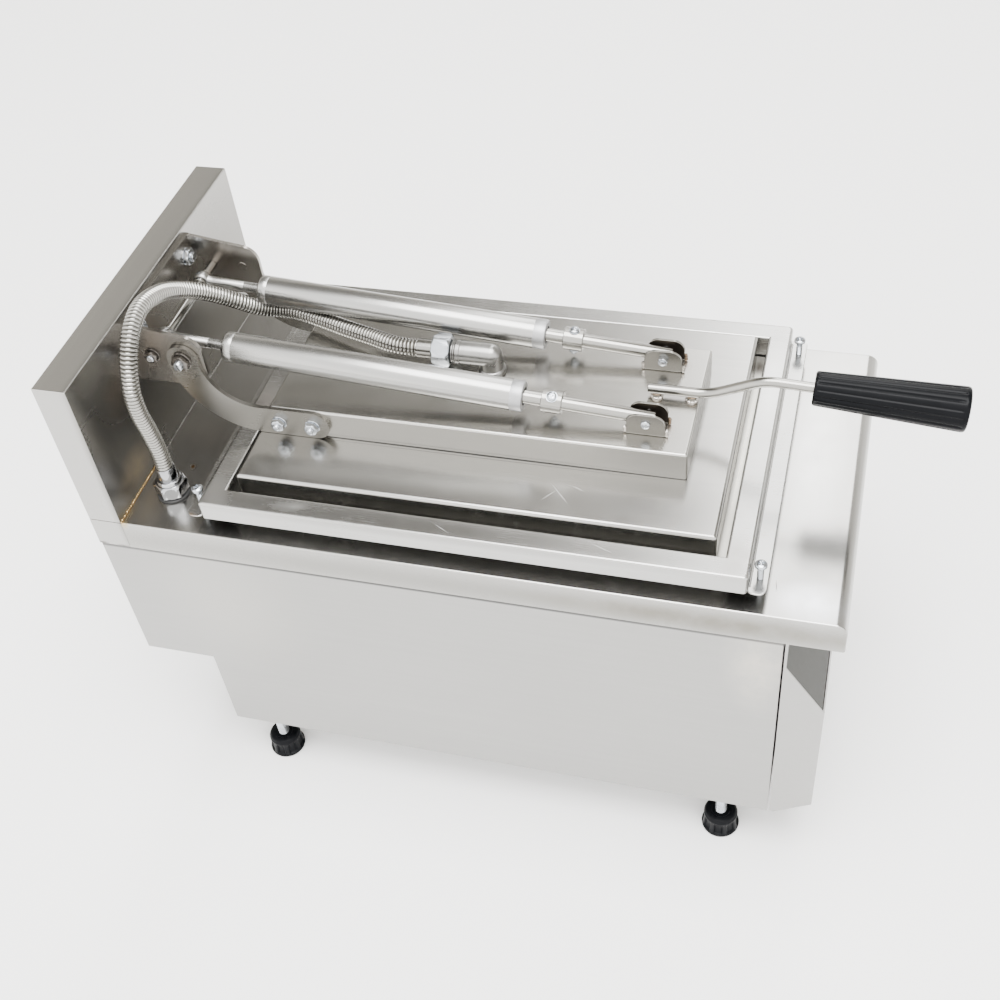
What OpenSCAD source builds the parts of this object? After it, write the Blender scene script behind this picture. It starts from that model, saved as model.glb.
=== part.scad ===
// Counter-top clamshell contact grill: a stainless cabinet with a fixed lower hot plate,
// a hinged upper plate with two counterbalance spring tubes, and a sloped control panel.
// The origin is on the surface the feet stand on, at the centre of the whole outline.
// +X is the operator's right, -Y the front (handle side) and +Z up.

/* [Cabinet] */
// Width of the counter-top
counter_w = 300; // [290:1:320]
// Depth of the counter-top from the rear face to the front edge
counter_d = 600; // [592:1:606]
// Height of the counter-top above the surface that the feet stand on
counter_h = 320; // [315:1:340]
// Height of the folded apron below the counter-top
apron_h = 28; // [26:1:30]
// Thickness of the stainless sheet
sheet = 1.5; // [1.2:0.1:1.8]
// Radius of the rolled front edge of the counter-top
nose_r = 9; // [6:1:12]
// Distance from the counter-top down to the underside of the cabinet
cabinet_h = 261; // [255:1:265]
// Depth of the rear service recess
recess_d = 64; // [60:1:68]
// Distance from the counter-top down to the recess
recess_z = 169; // [160:1:180]

/* [Splashback] */
// Thickness of the hollow splashback
splash_t = 28; // [26:1:30]
// Height of the splashback above the counter-top
splash_h = 140; // [138:1:150]

/* [Plates] */
// Width of the opening in the plate frame
plate_hole_w = 248; // [246:1:250]
// Depth of the opening in the plate frame
plate_hole_d = 391; // [389:1:393]
// Distance from the rear face to the plate frame's opening
plate_hole_y = 118; // [117:1:119]
// Thickness of each hot plate
plate_t = 12; // [10:1:12]
// Height of the lower cooking surface above the counter-top
cook_z = 9; // [8:0.5:9.5]
// Gap between the closed plates
plate_gap = 2.5; // [2:0.5:3]
// Diameter of the tubular heating elements
heater_d = 8; // [6:1:8]

/* [Lid] */
// Width of the lid's lower tray
tray_w = 231; // [229:1:233]
// Depth of the lid's lower tray
tray_d = 377.5; // [376:0.5:379]
// Height of the tray's top above the counter-top
tray_z = 37.7; // [37:0.1:39]
// Width of the raised box on the lid
box_w = 123; // [120:1:123]
// Depth of the raised box on the lid
box_d = 334; // [330:1:338]
// Height of the raised box's top above the counter-top
box_z = 63.3; // [62:0.1:64]

/* [Hinge and springs] */
// Distance from the rear face to the lid pivot
pivot_d = 74.5; // [74:0.5:76]
// Height of the lid pivot above the counter-top
pivot_z = 106; // [105:0.5:107]
// Distance from the rear face to the spring shaft
shaft_y = 47; // [46:0.5:48]
// Height of the spring shaft above the counter-top
shaft_z = 105; // [104:0.5:106]
// Distance from the rear face to the clevis pins
clevis_y = 436.5; // [434:0.5:440]
// Height of the clevis pins above the counter-top
clevis_z = 74.5; // [74:0.5:76]
// Distance of each spring tube from the centre line
tube_x = 37.2; // [36:0.1:38]
// Outer diameter of the spring tubes
tube_d = 24; // [23:0.5:25]
// Bore of the spring tubes
tube_bore = 20.4; // [20:0.1:20.6]
// Length of each spring tube
tube_len = 244; // [240:1:246]
// Diameter of the spring rods
rod_d = 11; // [10:0.5:11.5]

/* [Handle and feet] */
// Length of the handle grip
grip_len = 110; // [100:1:115]
// Diameter of the handle rod
handle_d = 8; // [7:0.5:9]
// Height of each foot's pad
pad_h = 22; // [18:1:24]
// Diameter of each foot at the floor
pad_d = 33; // [30:1:34]

/* [Hidden] */
$fn = 64;

// Clearances
slip = 0.2;              // between folded panels that nest
run = 0.05;              // radial clearance of pins and shafts
press = 0.02;            // radial clearance of pieces fixed on a stud or spindle
half_w = counter_w / 2;
wall_x = half_w - sheet - slip;        // outer face of the cabinet sides
inner_x = wall_x - sheet - slip;       // half width of the cross panels

// Handle grip: its axis tips forward and down
grip_tilt = 3;
grip_y = 554;
grip_z = 87.7;
reach = grip_y + grip_len * cos(grip_tilt) + 17 * sin(grip_tilt);
back_y = reach / 2;      // rear face, so that the outline is centred on the origin

// Front housing, as distances from the rear face and heights below the counter-top
front_seam = 558;
slope_top = [560, 60];
slope_foot = [592, 108];
chin = [592, 240];
chin_foot = [562, cabinet_h];
slope_run = slope_foot - slope_top;
slope_angle = atan2(slope_run[1], slope_run[0]);
slope_len = norm(slope_run);
knob_x = 70;
lamp_x = 32;

// Plate frame
rail_w = 18.5;
rail_top = 29;
rail_foot = 12.5;
flange_w = 13;
hole_x = plate_hole_w / 2;
hole_front = plate_hole_y + plate_hole_d;
frame_x = hole_x + rail_w;
ledge_z = cook_z - plate_t;
ledge_w = 10;
jack_x = 126;
jack_d = 5;
jack_rear_y = 93;
jack_front_y = hole_front + rail_w + 7;

// Lid levels
upper_face = cook_z + plate_gap;
upper_back = upper_face + plate_t;
tray_y = 123.5;
tray_foot = upper_face + 2.5;
box_y = 136.5;
box_x = box_w / 2;

// Hinge bracket
cheek_t = 3;
cheek_x = box_x - 0.3;   // outer face of each cheek, just inside the strap
bracket_top = 134;
bracket_foot = 78;
pivot_r = 4;
shaft_r = 4;
eye_r = 7;

// Straps: a flat arm that sweeps from the pivot down to the side of the raised box
strap_t = 3.5;
strap_w = 26;
strap_z = 51;
strap_bend = pivot_z - strap_z;
strap_tip = 174;
strap_bolt_y = [144.5, 173];

// Spring tubes, measured along the tube's axis from the shaft
tilt = atan2(shaft_z - clevis_z, clevis_y - shaft_y);
span = norm([clevis_y - shaft_y, shaft_z - clevis_z]);
tube_start = 52;
tube_end = tube_start + tube_len;
tube_wall = 7;
rod_start = 160;
rod_r = rod_d / 2;
rod_sway = 1.6;          // room for the rod to move sideways as the lid opens
piston_h = 8;
piston_r = 8.6;
spring_wire = 2.2;
spring_r = 7.9;
spring_turns = 13;
collar_gap = 14;
collar_len = 16;
clevis_pin_r = 2.5;
bolt_slip = 0.1;

// Conduit
conduit_r = 7;
gland_pos = [-109, 57];
elbow_pos = [8.5, 303];
elbow_z = 79.7;
conduit_route = [
    [-109, -57, 30], [-109, -57, 48], [-111.5, -57, 70], [-115, -57, 93], [-115.5, -58, 114],
    [-109, -59, 133], [-97, -60, 147.5], [-82, -60, 155.5], [-65, -60, 157], [-47, -60, 152],
    [-28, -60, 143], [-10, -61, 131], [4, -65, 119.5], [15, -73, 108], [24, -83.5, 96.5],
    [31.5, -91, 87], [37.5, -99, 80.8], [41.5, -108, 77.6], [43, -120, 76.4], [39, -138, 76],
    [33, -156, 76.5],
    [26, -175, 77], [18, -200, 77.8], [11, -218, 79.2], [8.5, -231, elbow_z],
    [8.5, -243, elbow_z]
];

// ---- Placing ----

// Children are drawn from the counter-top: x from the centre line, y = 0 at the rear face
// and falling towards the front, z = 0 on the counter-top.
module on_counter() { translate([0, back_y, counter_h]) children(); }

// Children are drawn from the middle of the control slope, with z out of the panel.
module on_slope() {
    middle = (slope_top + slope_foot) / 2;
    on_counter() translate([0, -middle[0], -middle[1]]) rotate([slope_angle, 0, 0]) children();
}

// Children are drawn from the spring shaft, with z along the tube towards the clevis.
module along_tube(side) {
    on_counter() translate([side * tube_x, -shaft_y, shaft_z]) rotate([90 + tilt, 0, 0]) children();
}

// A sheet part seen from the side, as [distance from the rear, height], spread over x.
module side_profile(points, x_low, x_high) {
    translate([x_low, 0, 0]) rotate([90, 0, 90]) linear_extrude(x_high - x_low)
        polygon([for (p = points) [-p[0], p[1]]]);
}

module box_between(low, high) { translate(low) cube(high - low); }

// A cylinder from one point to another.
module bar(from, to, r) {
    run_v = to - from;
    translate(from) rotate([0, acos(run_v[2] / norm(run_v)), atan2(run_v[1], run_v[0])])
        cylinder(h = norm(run_v), r = r);
}

// A round pin along x.
module pin_x(x_low, x_high, y, z, r) {
    translate([x_low, y, z]) rotate([0, 90, 0]) cylinder(h = x_high - x_low, r = r);
}

module hex(across_flats, h) { cylinder(h = h, r = across_flats / 2 / cos(30), $fn = 6); }

// A hexagon head or nut along x.
module hex_x(x_low, x_high, y, z, across_flats) {
    translate([x_low, y, z]) rotate([0, 90, 0]) rotate(30) hex(across_flats, x_high - x_low);
}

// A flat panel with rounded vertical corners.
module rounded_slab(x, y_rear, y_front, z_low, z_high, r) {
    box_between([-x + r, -y_front, z_low], [x - r, -y_rear, z_high]);
    box_between([-x, -y_front + r, z_low], [x, -y_rear - r, z_high]);
    for (sx = [-1, 1]) for (y = [-y_front + r, -y_rear - r])
        translate([sx * (x - r), y, z_low]) cylinder(h = z_high - z_low, r = r);
}

// A box folded from sheet, open below.
module open_box(x, y_rear, y_front, z_low, z_high, r) {
    difference() {
        rounded_slab(x, y_rear, y_front, z_low, z_high, r);
        rounded_slab(x - sheet, y_rear + sheet, y_front - sheet, z_low - 1, z_high - sheet,
            r - sheet / 2);
    }
}

// ---- Cabinet ----

module nose_profile(inset) {
    r = nose_r - inset;
    front = counter_d - inset;
    union() {
        translate([-(counter_d - nose_r), -apron_h - inset]) square([counter_d - nose_r - splash_t,
            apron_h]);
        translate([-front, -apron_h - inset]) square([front - counter_d + nose_r,
            apron_h - nose_r + inset]);
        translate([-(counter_d - nose_r), -nose_r]) circle(r = r);
    }
}

module countertop() {
    color("gainsboro") on_counter() difference() {
        translate([-half_w, 0, 0]) rotate([90, 0, 90]) linear_extrude(counter_w) nose_profile(0);
        translate([-half_w + sheet, 0, 0]) rotate([90, 0, 90])
            linear_extrude(counter_w - 2 * sheet) nose_profile(sheet);
        box_between([-hole_x - 5, -hole_front - 5, -3], [hole_x + 5, -plate_hole_y + 5, 1]);
        translate([gland_pos[0], -gland_pos[1], -3]) cylinder(h = 4, r = 8.2);
    }
}

module splashback() {
    color("silver") on_counter() difference() {
        box_between([-half_w, -splash_t, -apron_h], [half_w, 0, splash_h]);
        box_between([-half_w + sheet, -splash_t + sheet, -apron_h - 1],
            [half_w - sheet, -sheet, splash_h - sheet]);
        box_between([-half_w + sheet, -splash_t - 1, -apron_h - 1],
            [half_w - sheet, -splash_t + sheet + 1, -sheet]);
        for (sx = [-1, 1]) translate([sx * back_bolt_x, -splash_t - 1, back_bolt_z])
            rotate([-90, 0, 0]) cylinder(h = sheet + 2, r = 4 + bolt_slip);
    }
}

module side_panel(side) {
    x = side * (wall_x - sheet / 2);
    top = -8;
    behind = sheet + slip;
    skirt = -apron_h - slip;
    color("gainsboro") on_counter() side_profile([[behind, top], [behind, skirt], [slip, skirt],
        [slip, -recess_z], [recess_d, -recess_z], [recess_d, -cabinet_h],
        [front_seam - 1.5, -cabinet_h], [front_seam - 1.5, top]], x - sheet / 2, x + sheet / 2);
}

module left_side_panel() { side_panel(-1); }
module right_side_panel() { side_panel(1); }

// The rear panel steps in around the service recess.
module rear_panel() {
    rear = sheet + slip;
    color("silver") on_counter() difference() {
        side_profile([[rear, -8], [rear, -recess_z], [recess_d, -recess_z],
            [recess_d, -cabinet_h], [recess_d + sheet, -cabinet_h],
            [recess_d + sheet, -recess_z + sheet], [rear + sheet, -recess_z + sheet],
            [rear + sheet, -8]], -inner_x, inner_x);
        translate([cable_gland_x, -recess_d + 1, cable_gland_z]) rotate([90, 0, 0])
            cylinder(h = sheet + 2, r = 8 + bolt_slip);
    }
}

module base_panel() {
    floor_z = -cabinet_h;
    color("silver") on_counter() difference() {
        union() {
            box_between([-inner_x, -front_seam + 2, floor_z],
                [inner_x, -recess_d - sheet - slip, floor_z + sheet]);
            at_feet() translate([0, 0, floor_z]) cylinder(h = 12, r = 9);
        }
        at_feet() translate([0, 0, floor_z - 1]) cylinder(h = 14, r = 5 + run);
    }
}

// Front housing: two cheeks, the upright face and the chin, folded from one sheet.
module front_panel() {
    color("gainsboro") on_counter() difference() {
        side_profile([[front_seam, -apron_h - 1.5], [front_seam, -cabinet_h],
            [chin_foot[0], -chin_foot[1]], [chin[0], -chin[1]], [slope_foot[0], -slope_foot[1]],
            [slope_top[0], -slope_top[1]], [slope_top[0], -apron_h - 1.5]], -wall_x, wall_x);
        side_profile([[front_seam - 5, 10], [front_seam - 5, -cabinet_h + sheet],
            [chin_foot[0] - 0.5, -cabinet_h + sheet], [chin[0] - sheet, -chin[1] + 0.8],
            [chin[0] - sheet, 10]], -wall_x + sheet, wall_x - sheet);
    }
}

module control_panel() {
    color("dimgray") difference() {
        union() {
            on_slope() box_between([-inner_x, -slope_len / 2 + 3.4, -sheet],
                [inner_x, slope_len / 2, 0]);
            on_counter() box_between([-inner_x, -slope_top[0], -slope_top[1] - 1],
                [inner_x, -slope_top[0] + sheet, -apron_h - 1.5]);
        }
        for (sx = [-1, 1]) {
            on_slope() translate([sx * knob_x, 0, -5]) cylinder(h = 10, r = 5 + bolt_slip);
            on_slope() translate([sx * lamp_x, 0, -5]) cylinder(h = 10, r = 4 + bolt_slip);
        }
        on_slope() box_between([-10.2, -8.2, -5], [10.2, 8.2, 5]);
    }
}

// ---- Feet ----

foot_x = half_w - 18;
foot_y = [97, 516];
stud_top = 240;

module at_feet() {
    for (sx = [-1, 1]) for (y = foot_y) translate([sx * foot_x, -y, 0]) children();
}

// A moulded pad, tapered and fluted for the fingers, on an M10 stud.
module foot(sx, y) {
    base_r = pad_d / 2;
    top_r = base_r - 1.5;
    flutes = 8;
    on_counter() translate([sx * foot_x, -y, -counter_h]) {
        color("black") difference() {
            rotate_extrude() polygon([[0, 0], [base_r - 1, 0], [base_r, 1], [base_r, 3],
                [top_r, pad_h - 3], [top_r - 1.5, pad_h], [0, pad_h]]);
            for (i = [0 : flutes - 1]) rotate((i + 0.5) * 360 / flutes)
                translate([base_r + 2.6, 0, 2]) cylinder(h = pad_h - 6, r = 4.6);
            translate([0, 0, 6]) cylinder(h = pad_h, r = 5 + press);
        }
        color("silver") translate([0, 0, 6 + slip])
            cylinder(h = counter_h - stud_top - 6 - slip, r = 5);
    }
}

module foot_front_left() { foot(-1, foot_y[1]); }
module foot_front_right() { foot(1, foot_y[1]); }
module foot_rear_left() { foot(-1, foot_y[0]); }
module foot_rear_right() { foot(1, foot_y[0]); }

// ---- Hinge bracket on the splashback ----

back_bolt_x = 47.5;
back_bolt_z = 120;

module cheek(x_low) {
    corner = 14;
    difference() {
        union() {
            side_profile([[splash_t, bracket_foot], [splash_t, bracket_top], [78, 126],
                [91, 126 - corner], [91, bracket_foot + corner], [91 - corner, bracket_foot]],
                x_low, x_low + cheek_t);
            pin_x(x_low, x_low + cheek_t, -(91 - corner), 126 - corner, corner);
            pin_x(x_low, x_low + cheek_t, -(91 - corner), bracket_foot + corner, corner);
        }
        pin_x(x_low - 1, x_low + cheek_t + 1, -shaft_y, shaft_z, 3 + bolt_slip);
        pin_x(x_low - 1, x_low + cheek_t + 1, -pivot_d, pivot_z, pivot_r);
    }
}

module hinge_bracket() {
    color("dimgray") on_counter() {
        difference() {
            box_between([-cheek_x, -splash_t - cheek_t, bracket_foot],
                [cheek_x, -splash_t, bracket_top]);
            for (sx = [-1, 1]) translate([sx * back_bolt_x, -splash_t - cheek_t - 1, back_bolt_z])
                rotate([-90, 0, 0]) cylinder(h = cheek_t + 2, r = 4 + bolt_slip);
        }
        cheek(-cheek_x);
        cheek(cheek_x - cheek_t);
    }
}

// Two bolts hold the bracket's back and one through each cheek holds the spring shaft. The
// straps turn on two studs pressed flush into the cheeks, each with a washer and a nut.
module hinge_bolts() {
    nut_h = 6.5;
    behind = cheek_t + sheet;
    outer = box_x + strap_t + 0.3;
    nut_x = cheek_x - cheek_t;
    color("silver") on_counter() for (m = [0, 1]) mirror([m, 0, 0]) {
        translate([back_bolt_x, -splash_t - cheek_t, back_bolt_z]) rotate([90, 0, 0]) {
            hex(13, 5.3);
            translate([0, 0, -behind - nut_h - 1]) cylinder(h = behind + nut_h + 3, r = 4);
            translate([0, 0, -behind - nut_h]) hex(13, nut_h);
        }
        pin_x(nut_x - 9, cheek_x + 2, -shaft_y, shaft_z, 3);
        hex_x(cheek_x, cheek_x + 4, -shaft_y, shaft_z, 10);
        pin_x(nut_x, outer + 3, -pivot_d, pivot_z, pivot_r);
        pin_x(outer, outer + 1.6, -pivot_d, pivot_z, 8);
        hex_x(outer + 1.6, outer + 6.9, -pivot_d, pivot_z, 13);
    }
}

module spring_shaft() {
    end = cheek_x - cheek_t;
    color("silver") on_counter() difference() {
        pin_x(-end, end, -shaft_y, shaft_z, shaft_r);
        for (sx = [-1, 1]) pin_x(sx > 0 ? end - 10 : -end - 1, sx > 0 ? end + 1 : -end + 10,
            -shaft_y, shaft_z, 3);
    }
}

// ---- Plate frame and lower plate ----

// A folded rail seen along its length: x = 0 on the opening side, x = rail_w outside.
module rail_profile() {
    square_from([0, ledge_z - sheet], [sheet, rail_top]);
    square_from([0, rail_top - sheet], [rail_w, rail_top]);
    square_from([rail_w - sheet, rail_foot], [rail_w, rail_top]);
    square_from([-ledge_w, ledge_z - sheet], [sheet, ledge_z]);
}

module square_from(low, high) { translate(low) square(high - low); }

// The plan of one rail, cut at 45 degrees at both ends.
module mitre(half_len, h_low, h_high) {
    grow = rail_w + flange_w;
    translate([0, 0, h_low]) linear_extrude(h_high - h_low) polygon([
        [-half_len + ledge_w, -ledge_w], [half_len - ledge_w, -ledge_w],
        [half_len + grow, grow], [-half_len - grow, grow]]);
}

// A rail along x whose opening side faces -y.
module mitred_rail(half_len) {
    intersection() {
        translate([-half_len - rail_w, 0, 0]) rotate([90, 0, 90])
            linear_extrude(2 * (half_len + rail_w)) rail_profile();
        mitre(half_len, ledge_z - sheet - 1, rail_top + 1);
    }
}

// A flange along an end rail, which two of the jack screws pass through.
module jack_flange(jack) {
    out = rail_w + flange_w;
    r = 8;
    difference() {
        union() {
            box_between([-frame_x, rail_w - sheet, rail_foot], [frame_x, out - r,
                rail_foot + sheet]);
            box_between([-frame_x + r, rail_w, rail_foot], [frame_x - r, out, rail_foot + sheet]);
            for (sx = [-1, 1]) translate([sx * (frame_x - r), out - r, rail_foot])
                cylinder(h = sheet, r = r);
        }
        for (sx = [-1, 1]) translate([sx * jack_x, jack, rail_foot - 1])
            cylinder(h = sheet + 2, r = jack_d / 2 + run);
    }
}

// The plate frame is a ring of four folded rails, mitred and welded at the corners.
module plate_frame() {
    color("silver") on_counter() translate([0, -plate_hole_y - plate_hole_d / 2, 0]) {
        for (a = [90, -90]) rotate(a) translate([0, hole_x, 0]) mitred_rail(plate_hole_d / 2);
        for (a = [0, 180]) rotate(a) translate([0, plate_hole_d / 2, 0]) {
            mitred_rail(hole_x);
            jack_flange(a == 0 ? plate_hole_y - jack_rear_y : jack_front_y - hole_front);
        }
    }
}

// A pan-head screw that stands on the counter-top and carries one corner of the frame.
module jack_screw(sx, y) {
    head_z = 26.5;
    color("silver") on_counter() translate([sx * jack_x, -y, 0]) {
        cylinder(h = head_z, r = jack_d / 2);
        translate([0, 0, head_z]) difference() {
            cylinder(h = 3.4, r = 4.6);
            for (a = [0, 90]) rotate(a) box_between([-2.6, -0.5, 1.6], [2.6, 0.5, 4]);
        }
    }
}

module jack_screw_front_left() { jack_screw(-1, jack_front_y); }
module jack_screw_front_right() { jack_screw(1, jack_front_y); }
module jack_screw_rear_left() { jack_screw(-1, jack_rear_y); }
module jack_screw_rear_right() { jack_screw(1, jack_rear_y); }

// Children are drawn at the four studs under the lower plate.
module at_lower_studs() {
    for (sx = [-1, 1]) for (y = [plate_hole_y + 30, hole_front - 30])
        translate([sx * (hole_x - 24), -y, 0]) children();
}

module lower_plate() {
    gap = 1.5;
    color("dimgray") on_counter() {
        rounded_slab(hole_x - gap, plate_hole_y + gap, hole_front - gap, ledge_z, cook_z, 2);
        at_lower_studs() translate([0, 0, pan_z - 9]) cylinder(h = ledge_z - pan_z + 10, r = 3);
    }
}

// A tubular element in four runs joined by return bends.
module heater(z) {
    r = heater_d / 2;
    pitch = 50;
    rear = -plate_hole_y - 50;
    front = -hole_front + 50;
    translate([0, 0, z]) {
        for (i = [0 : 3]) bar([(i - 1.5) * pitch, front, 0], [(i - 1.5) * pitch, rear, 0], r);
        for (x = [-pitch, pitch]) translate([x, front, 0]) rotate(180) half_bend(pitch / 2, r);
        translate([0, rear, 0]) half_bend(pitch / 2, r);
        for (x = [-1.5, 1.5]) bar([x * pitch, rear, 0], [x * pitch, rear + 16, 0], r - 1.5);
    }
}

module half_bend(bend_r, r) {
    rotate_extrude(angle = 180) translate([bend_r, 0]) circle(r = r);
}

module lower_heater() { color("sienna") on_counter() heater(ledge_z - heater_d / 2); }

pan_z = ledge_z - heater_d - 26;
pan_x = hole_x - ledge_w - 2;
pan_rear = plate_hole_y + ledge_w + 2;
pan_front = hole_front - ledge_w - 2;

module lower_insulation() {
    color("beige") on_counter() difference() {
        box_between([-pan_x + 1, -pan_front + 1, pan_z + 1], [pan_x - 1, -pan_rear - 1,
            ledge_z - heater_d]);
        at_lower_studs() translate([0, 0, pan_z]) cylinder(h = 30, r = 3 + slip);
    }
}

// A folded pan holds the insulation and the element up against the plate, on four nuts.
module lower_pan() {
    color("silver") on_counter() {
        difference() {
            box_between([-pan_x, -pan_front, pan_z], [pan_x, -pan_rear, ledge_z]);
            box_between([-pan_x + 1, -pan_front + 1, pan_z + 1], [pan_x - 1, -pan_rear - 1, 0]);
            at_lower_studs() translate([0, 0, pan_z - 1]) cylinder(h = 4, r = 3 + slip);
        }
        at_lower_studs() translate([0, 0, pan_z - 5 - press]) difference() {
            hex(10, 5);
            translate([0, 0, -1]) cylinder(h = 7, r = 3 + press);
        }
    }
}

// ---- Controls ----

module thermostats() {
    color("lightgray") for (sx = [-1, 1]) on_slope() translate([sx * knob_x, 0, 0]) difference() {
        union() {
            box_between([-18, -15, -30], [18, 15, -sheet]);
            translate([0, 0, -sheet]) cylinder(h = sheet + 3, r = 5);
        }
        translate([0, 0, -20]) cylinder(h = 30, r = 3 + run);
    }
}

// A round knob with a finger bar, on the thermostat's spindle.
module knob(side) {
    on_slope() translate([side * knob_x, 0, 0]) {
        color("black") difference() {
            union() {
                translate([0, 0, 1]) cylinder(h = 8, r = 16);
                translate([0, 0, 1]) cylinder(h = 10, r = 13);
                box_between([-3, -14, 1], [3, 14, 16]);
            }
            cylinder(h = 4, r = 5.6);
            cylinder(h = 12, r = 3 + press);
        }
        color("silver") translate([0, 0, -18]) cylinder(h = 30 - slip, r = 3);
    }
}

module left_knob() { knob(-1); }
module right_knob() { knob(1); }

module pilot_lamps() {
    color("orange") for (sx = [-1, 1]) on_slope() translate([sx * lamp_x, 0, 0]) {
        cylinder(h = 1.5, r = 6);
        translate([0, 0, 1.5]) cylinder(h = 2.5, r = 4.5);
        translate([0, 0, -20]) cylinder(h = 20, r = 4);
    }
}

rocker_pivot = -2;

module switch_housing() {
    color("black") on_slope() difference() {
        union() {
            box_between([-12.5, -10.5, 0], [12.5, 10.5, 1.5]);
            box_between([-10, -8, -20], [10, 8, 0.5]);
        }
        box_between([-8.6, -7.2, -9], [8.6, 7.2, 2]);
        translate([0, 0, rocker_pivot]) pin_x(-9.6, 9.6, 0, 0, 1.5 + run);
    }
}

// The rocker rests tipped one way and tips the other way when it is pressed.
module switch_rocker() {
    rest = 8;
    color("darkred") on_slope() translate([0, 0, rocker_pivot]) rotate([rest, 0, 0])
        union() {
            side_profile([[-6, -5], [6, -5], [6, 5.5], [0, 4], [-6, 5.5]], -8.2, 8.2);
            pin_x(-9.4, 9.4, 0, 0, 1.5);
        }
}

module terminal_block() {
    z = -cabinet_h + sheet;
    color("ivory") on_counter() difference() {
        box_between([50, -118, z], [116, -92, z + 24]);
        for (i = [0 : 4]) translate([57 + 13 * i, -105, z + 14]) cylinder(h = 12, r = 3.2);
    }
}

cable_gland_x = 95;
cable_gland_z = -215;

module cable_gland() {
    color("dimgray") on_counter() translate([cable_gland_x, -recess_d, cable_gland_z])
        rotate([-90, 0, 0]) difference() {
            union() {
                hex(22, 5);
                cylinder(h = 14, r = 10);
                translate([0, 0, 14]) cylinder(h = 6, r = 8);
                translate([0, 0, -14]) cylinder(h = 15, r = 8);
                translate([0, 0, -sheet - 5]) hex(22, 5);
            }
            translate([0, 0, -20]) cylinder(h = 50, r = 5);
        }
}

// ---- Conduit ----

module conduit_gland() {
    color("silver") on_counter() translate([gland_pos[0], -gland_pos[1], 0]) difference() {
        union() {
            cylinder(h = 2, r = 13.5);
            translate([0, 0, 2]) hex(24, 13);
            cylinder(h = 18, r = 10);
            cylinder(h = 30, r = conduit_r + 0.8);
            translate([0, 0, -12]) cylinder(h = 13, r = 8);
            translate([0, 0, -sheet - 5]) hex(22, 5);
        }
        translate([0, 0, -13]) cylinder(h = 50, r = 5);
    }
}

// Unit vector along the route at point i.
function along(i) = let (a = conduit_route[max(i - 1, 0)],
    b = conduit_route[min(i + 1, len(conduit_route) - 1)]) (b - a) / norm(b - a);
function across(v) = let (s = cross(v, [0.3, 0.2, 0.93])) s / norm(s);
function ring(i, r, sides) = let (v = along(i), s = across(v), t = cross(v, s))
    [for (k = [0 : sides - 1]) conduit_route[i] + r * (cos(360 * k / sides) * s
        + sin(360 * k / sides) * t)];

// A tube swept along the route, closed at both ends.
module conduit() {
    sides = 10;
    n = len(conduit_route);
    points = [for (i = [0 : n - 1]) each ring(i, conduit_r, sides)];
    walls = [for (i = [0 : n - 2]) for (k = [0 : sides - 1]) let (m = (k + 1) % sides)
        each [[i * sides + k, (i + 1) * sides + m, i * sides + m],
            [i * sides + k, (i + 1) * sides + k, (i + 1) * sides + m]]];
    ends = [[for (k = [0 : sides - 1]) k], [for (k = [sides - 1 : -1 : 0]) (n - 1) * sides + k]];
    color("lightgray") on_counter() polyhedron(points = points, faces = concat(walls, ends));
}

module conduit_nut() {
    color("silver") on_counter() translate([elbow_pos[0], -256, elbow_z]) rotate([90, 0, 0])
        difference() {
            union() {
                hex(24, 15);
                translate([0, 0, -13]) cylinder(h = 14, r = conduit_r + 0.8);
            }
            translate([0, 0, -14]) cylinder(h = 30, r = 5);
        }
}

// A cast elbow from the conduit down into the raised box.
module conduit_elbow() {
    r = 9.5;
    color("darkgray") on_counter() translate([elbow_pos[0], -elbow_pos[1], 0]) difference() {
        union() {
            translate([0, 0, elbow_z]) sphere(r = r);
            translate([0, 0, elbow_z]) rotate([-90, 0, 0]) cylinder(h = 28, r = r);
            translate([0, 0, elbow_z]) rotate([-90, 0, 0]) cylinder(h = 32, r = 8.4);
            translate([0, 0, box_z]) cylinder(h = elbow_z - box_z, r = r);
            translate([0, 0, box_z]) cylinder(h = 3, r = 11);
            translate([0, 0, box_z - 10]) cylinder(h = 12, r = 7.8);
        }
        translate([0, 0, box_z - 11]) cylinder(h = elbow_z - box_z + 11, r = 5);
        translate([0, 0, elbow_z]) rotate([-90, 0, 0]) cylinder(h = 40, r = 5);
    }
}

// ---- Lid ----

module lid_tray() {
    x = tray_w / 2;
    color("lightgray") on_counter() difference() {
        open_box(x, tray_y, tray_y + tray_d, tray_foot, tray_z, 2.5);
        translate([elbow_pos[0], -elbow_pos[1], tray_z - 5]) cylinder(h = 8, r = 8);
        at_upper_studs() translate([0, 0, tray_z - 5]) cylinder(h = 8, r = 3 + slip);
    }
}

module lid_box() {
    color("lightgray") on_counter() difference() {
        open_box(box_x, box_y, box_y + box_d, tray_z, box_z, 2.5);
        translate([elbow_pos[0], -elbow_pos[1], box_z - 5]) cylinder(h = 8, r = 8);
        for (sx = [-1, 1]) for (y = strap_bolt_y)
            pin_x(sx * box_x - 5, sx * box_x + 5, -y, strap_z, 3 + bolt_slip);
    }
}

// Children are drawn at the four studs on the back of the upper plate.
module at_upper_studs() {
    for (sx = [-1, 1]) for (y = [box_y + 26, box_y + box_d - 26])
        translate([sx * (box_x - 17), -y, 0]) children();
}

module upper_plate() {
    color("dimgray") on_counter() {
        rounded_slab(tray_w / 2 - sheet - slip, tray_y + sheet + slip,
            tray_y + tray_d - sheet - slip, upper_face, upper_back, 2);
        at_upper_studs() translate([0, 0, upper_back - 1])
            cylinder(h = tray_z - upper_back + 9, r = 3);
    }
}

// Nuts inside the raised box hold the upper plate to the tray.
module lid_nuts() {
    color("silver") on_counter() at_upper_studs() translate([0, 0, tray_z]) difference() {
        hex(10, 5);
        translate([0, 0, -1]) cylinder(h = 7, r = 3 + press);
    }
}

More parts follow.
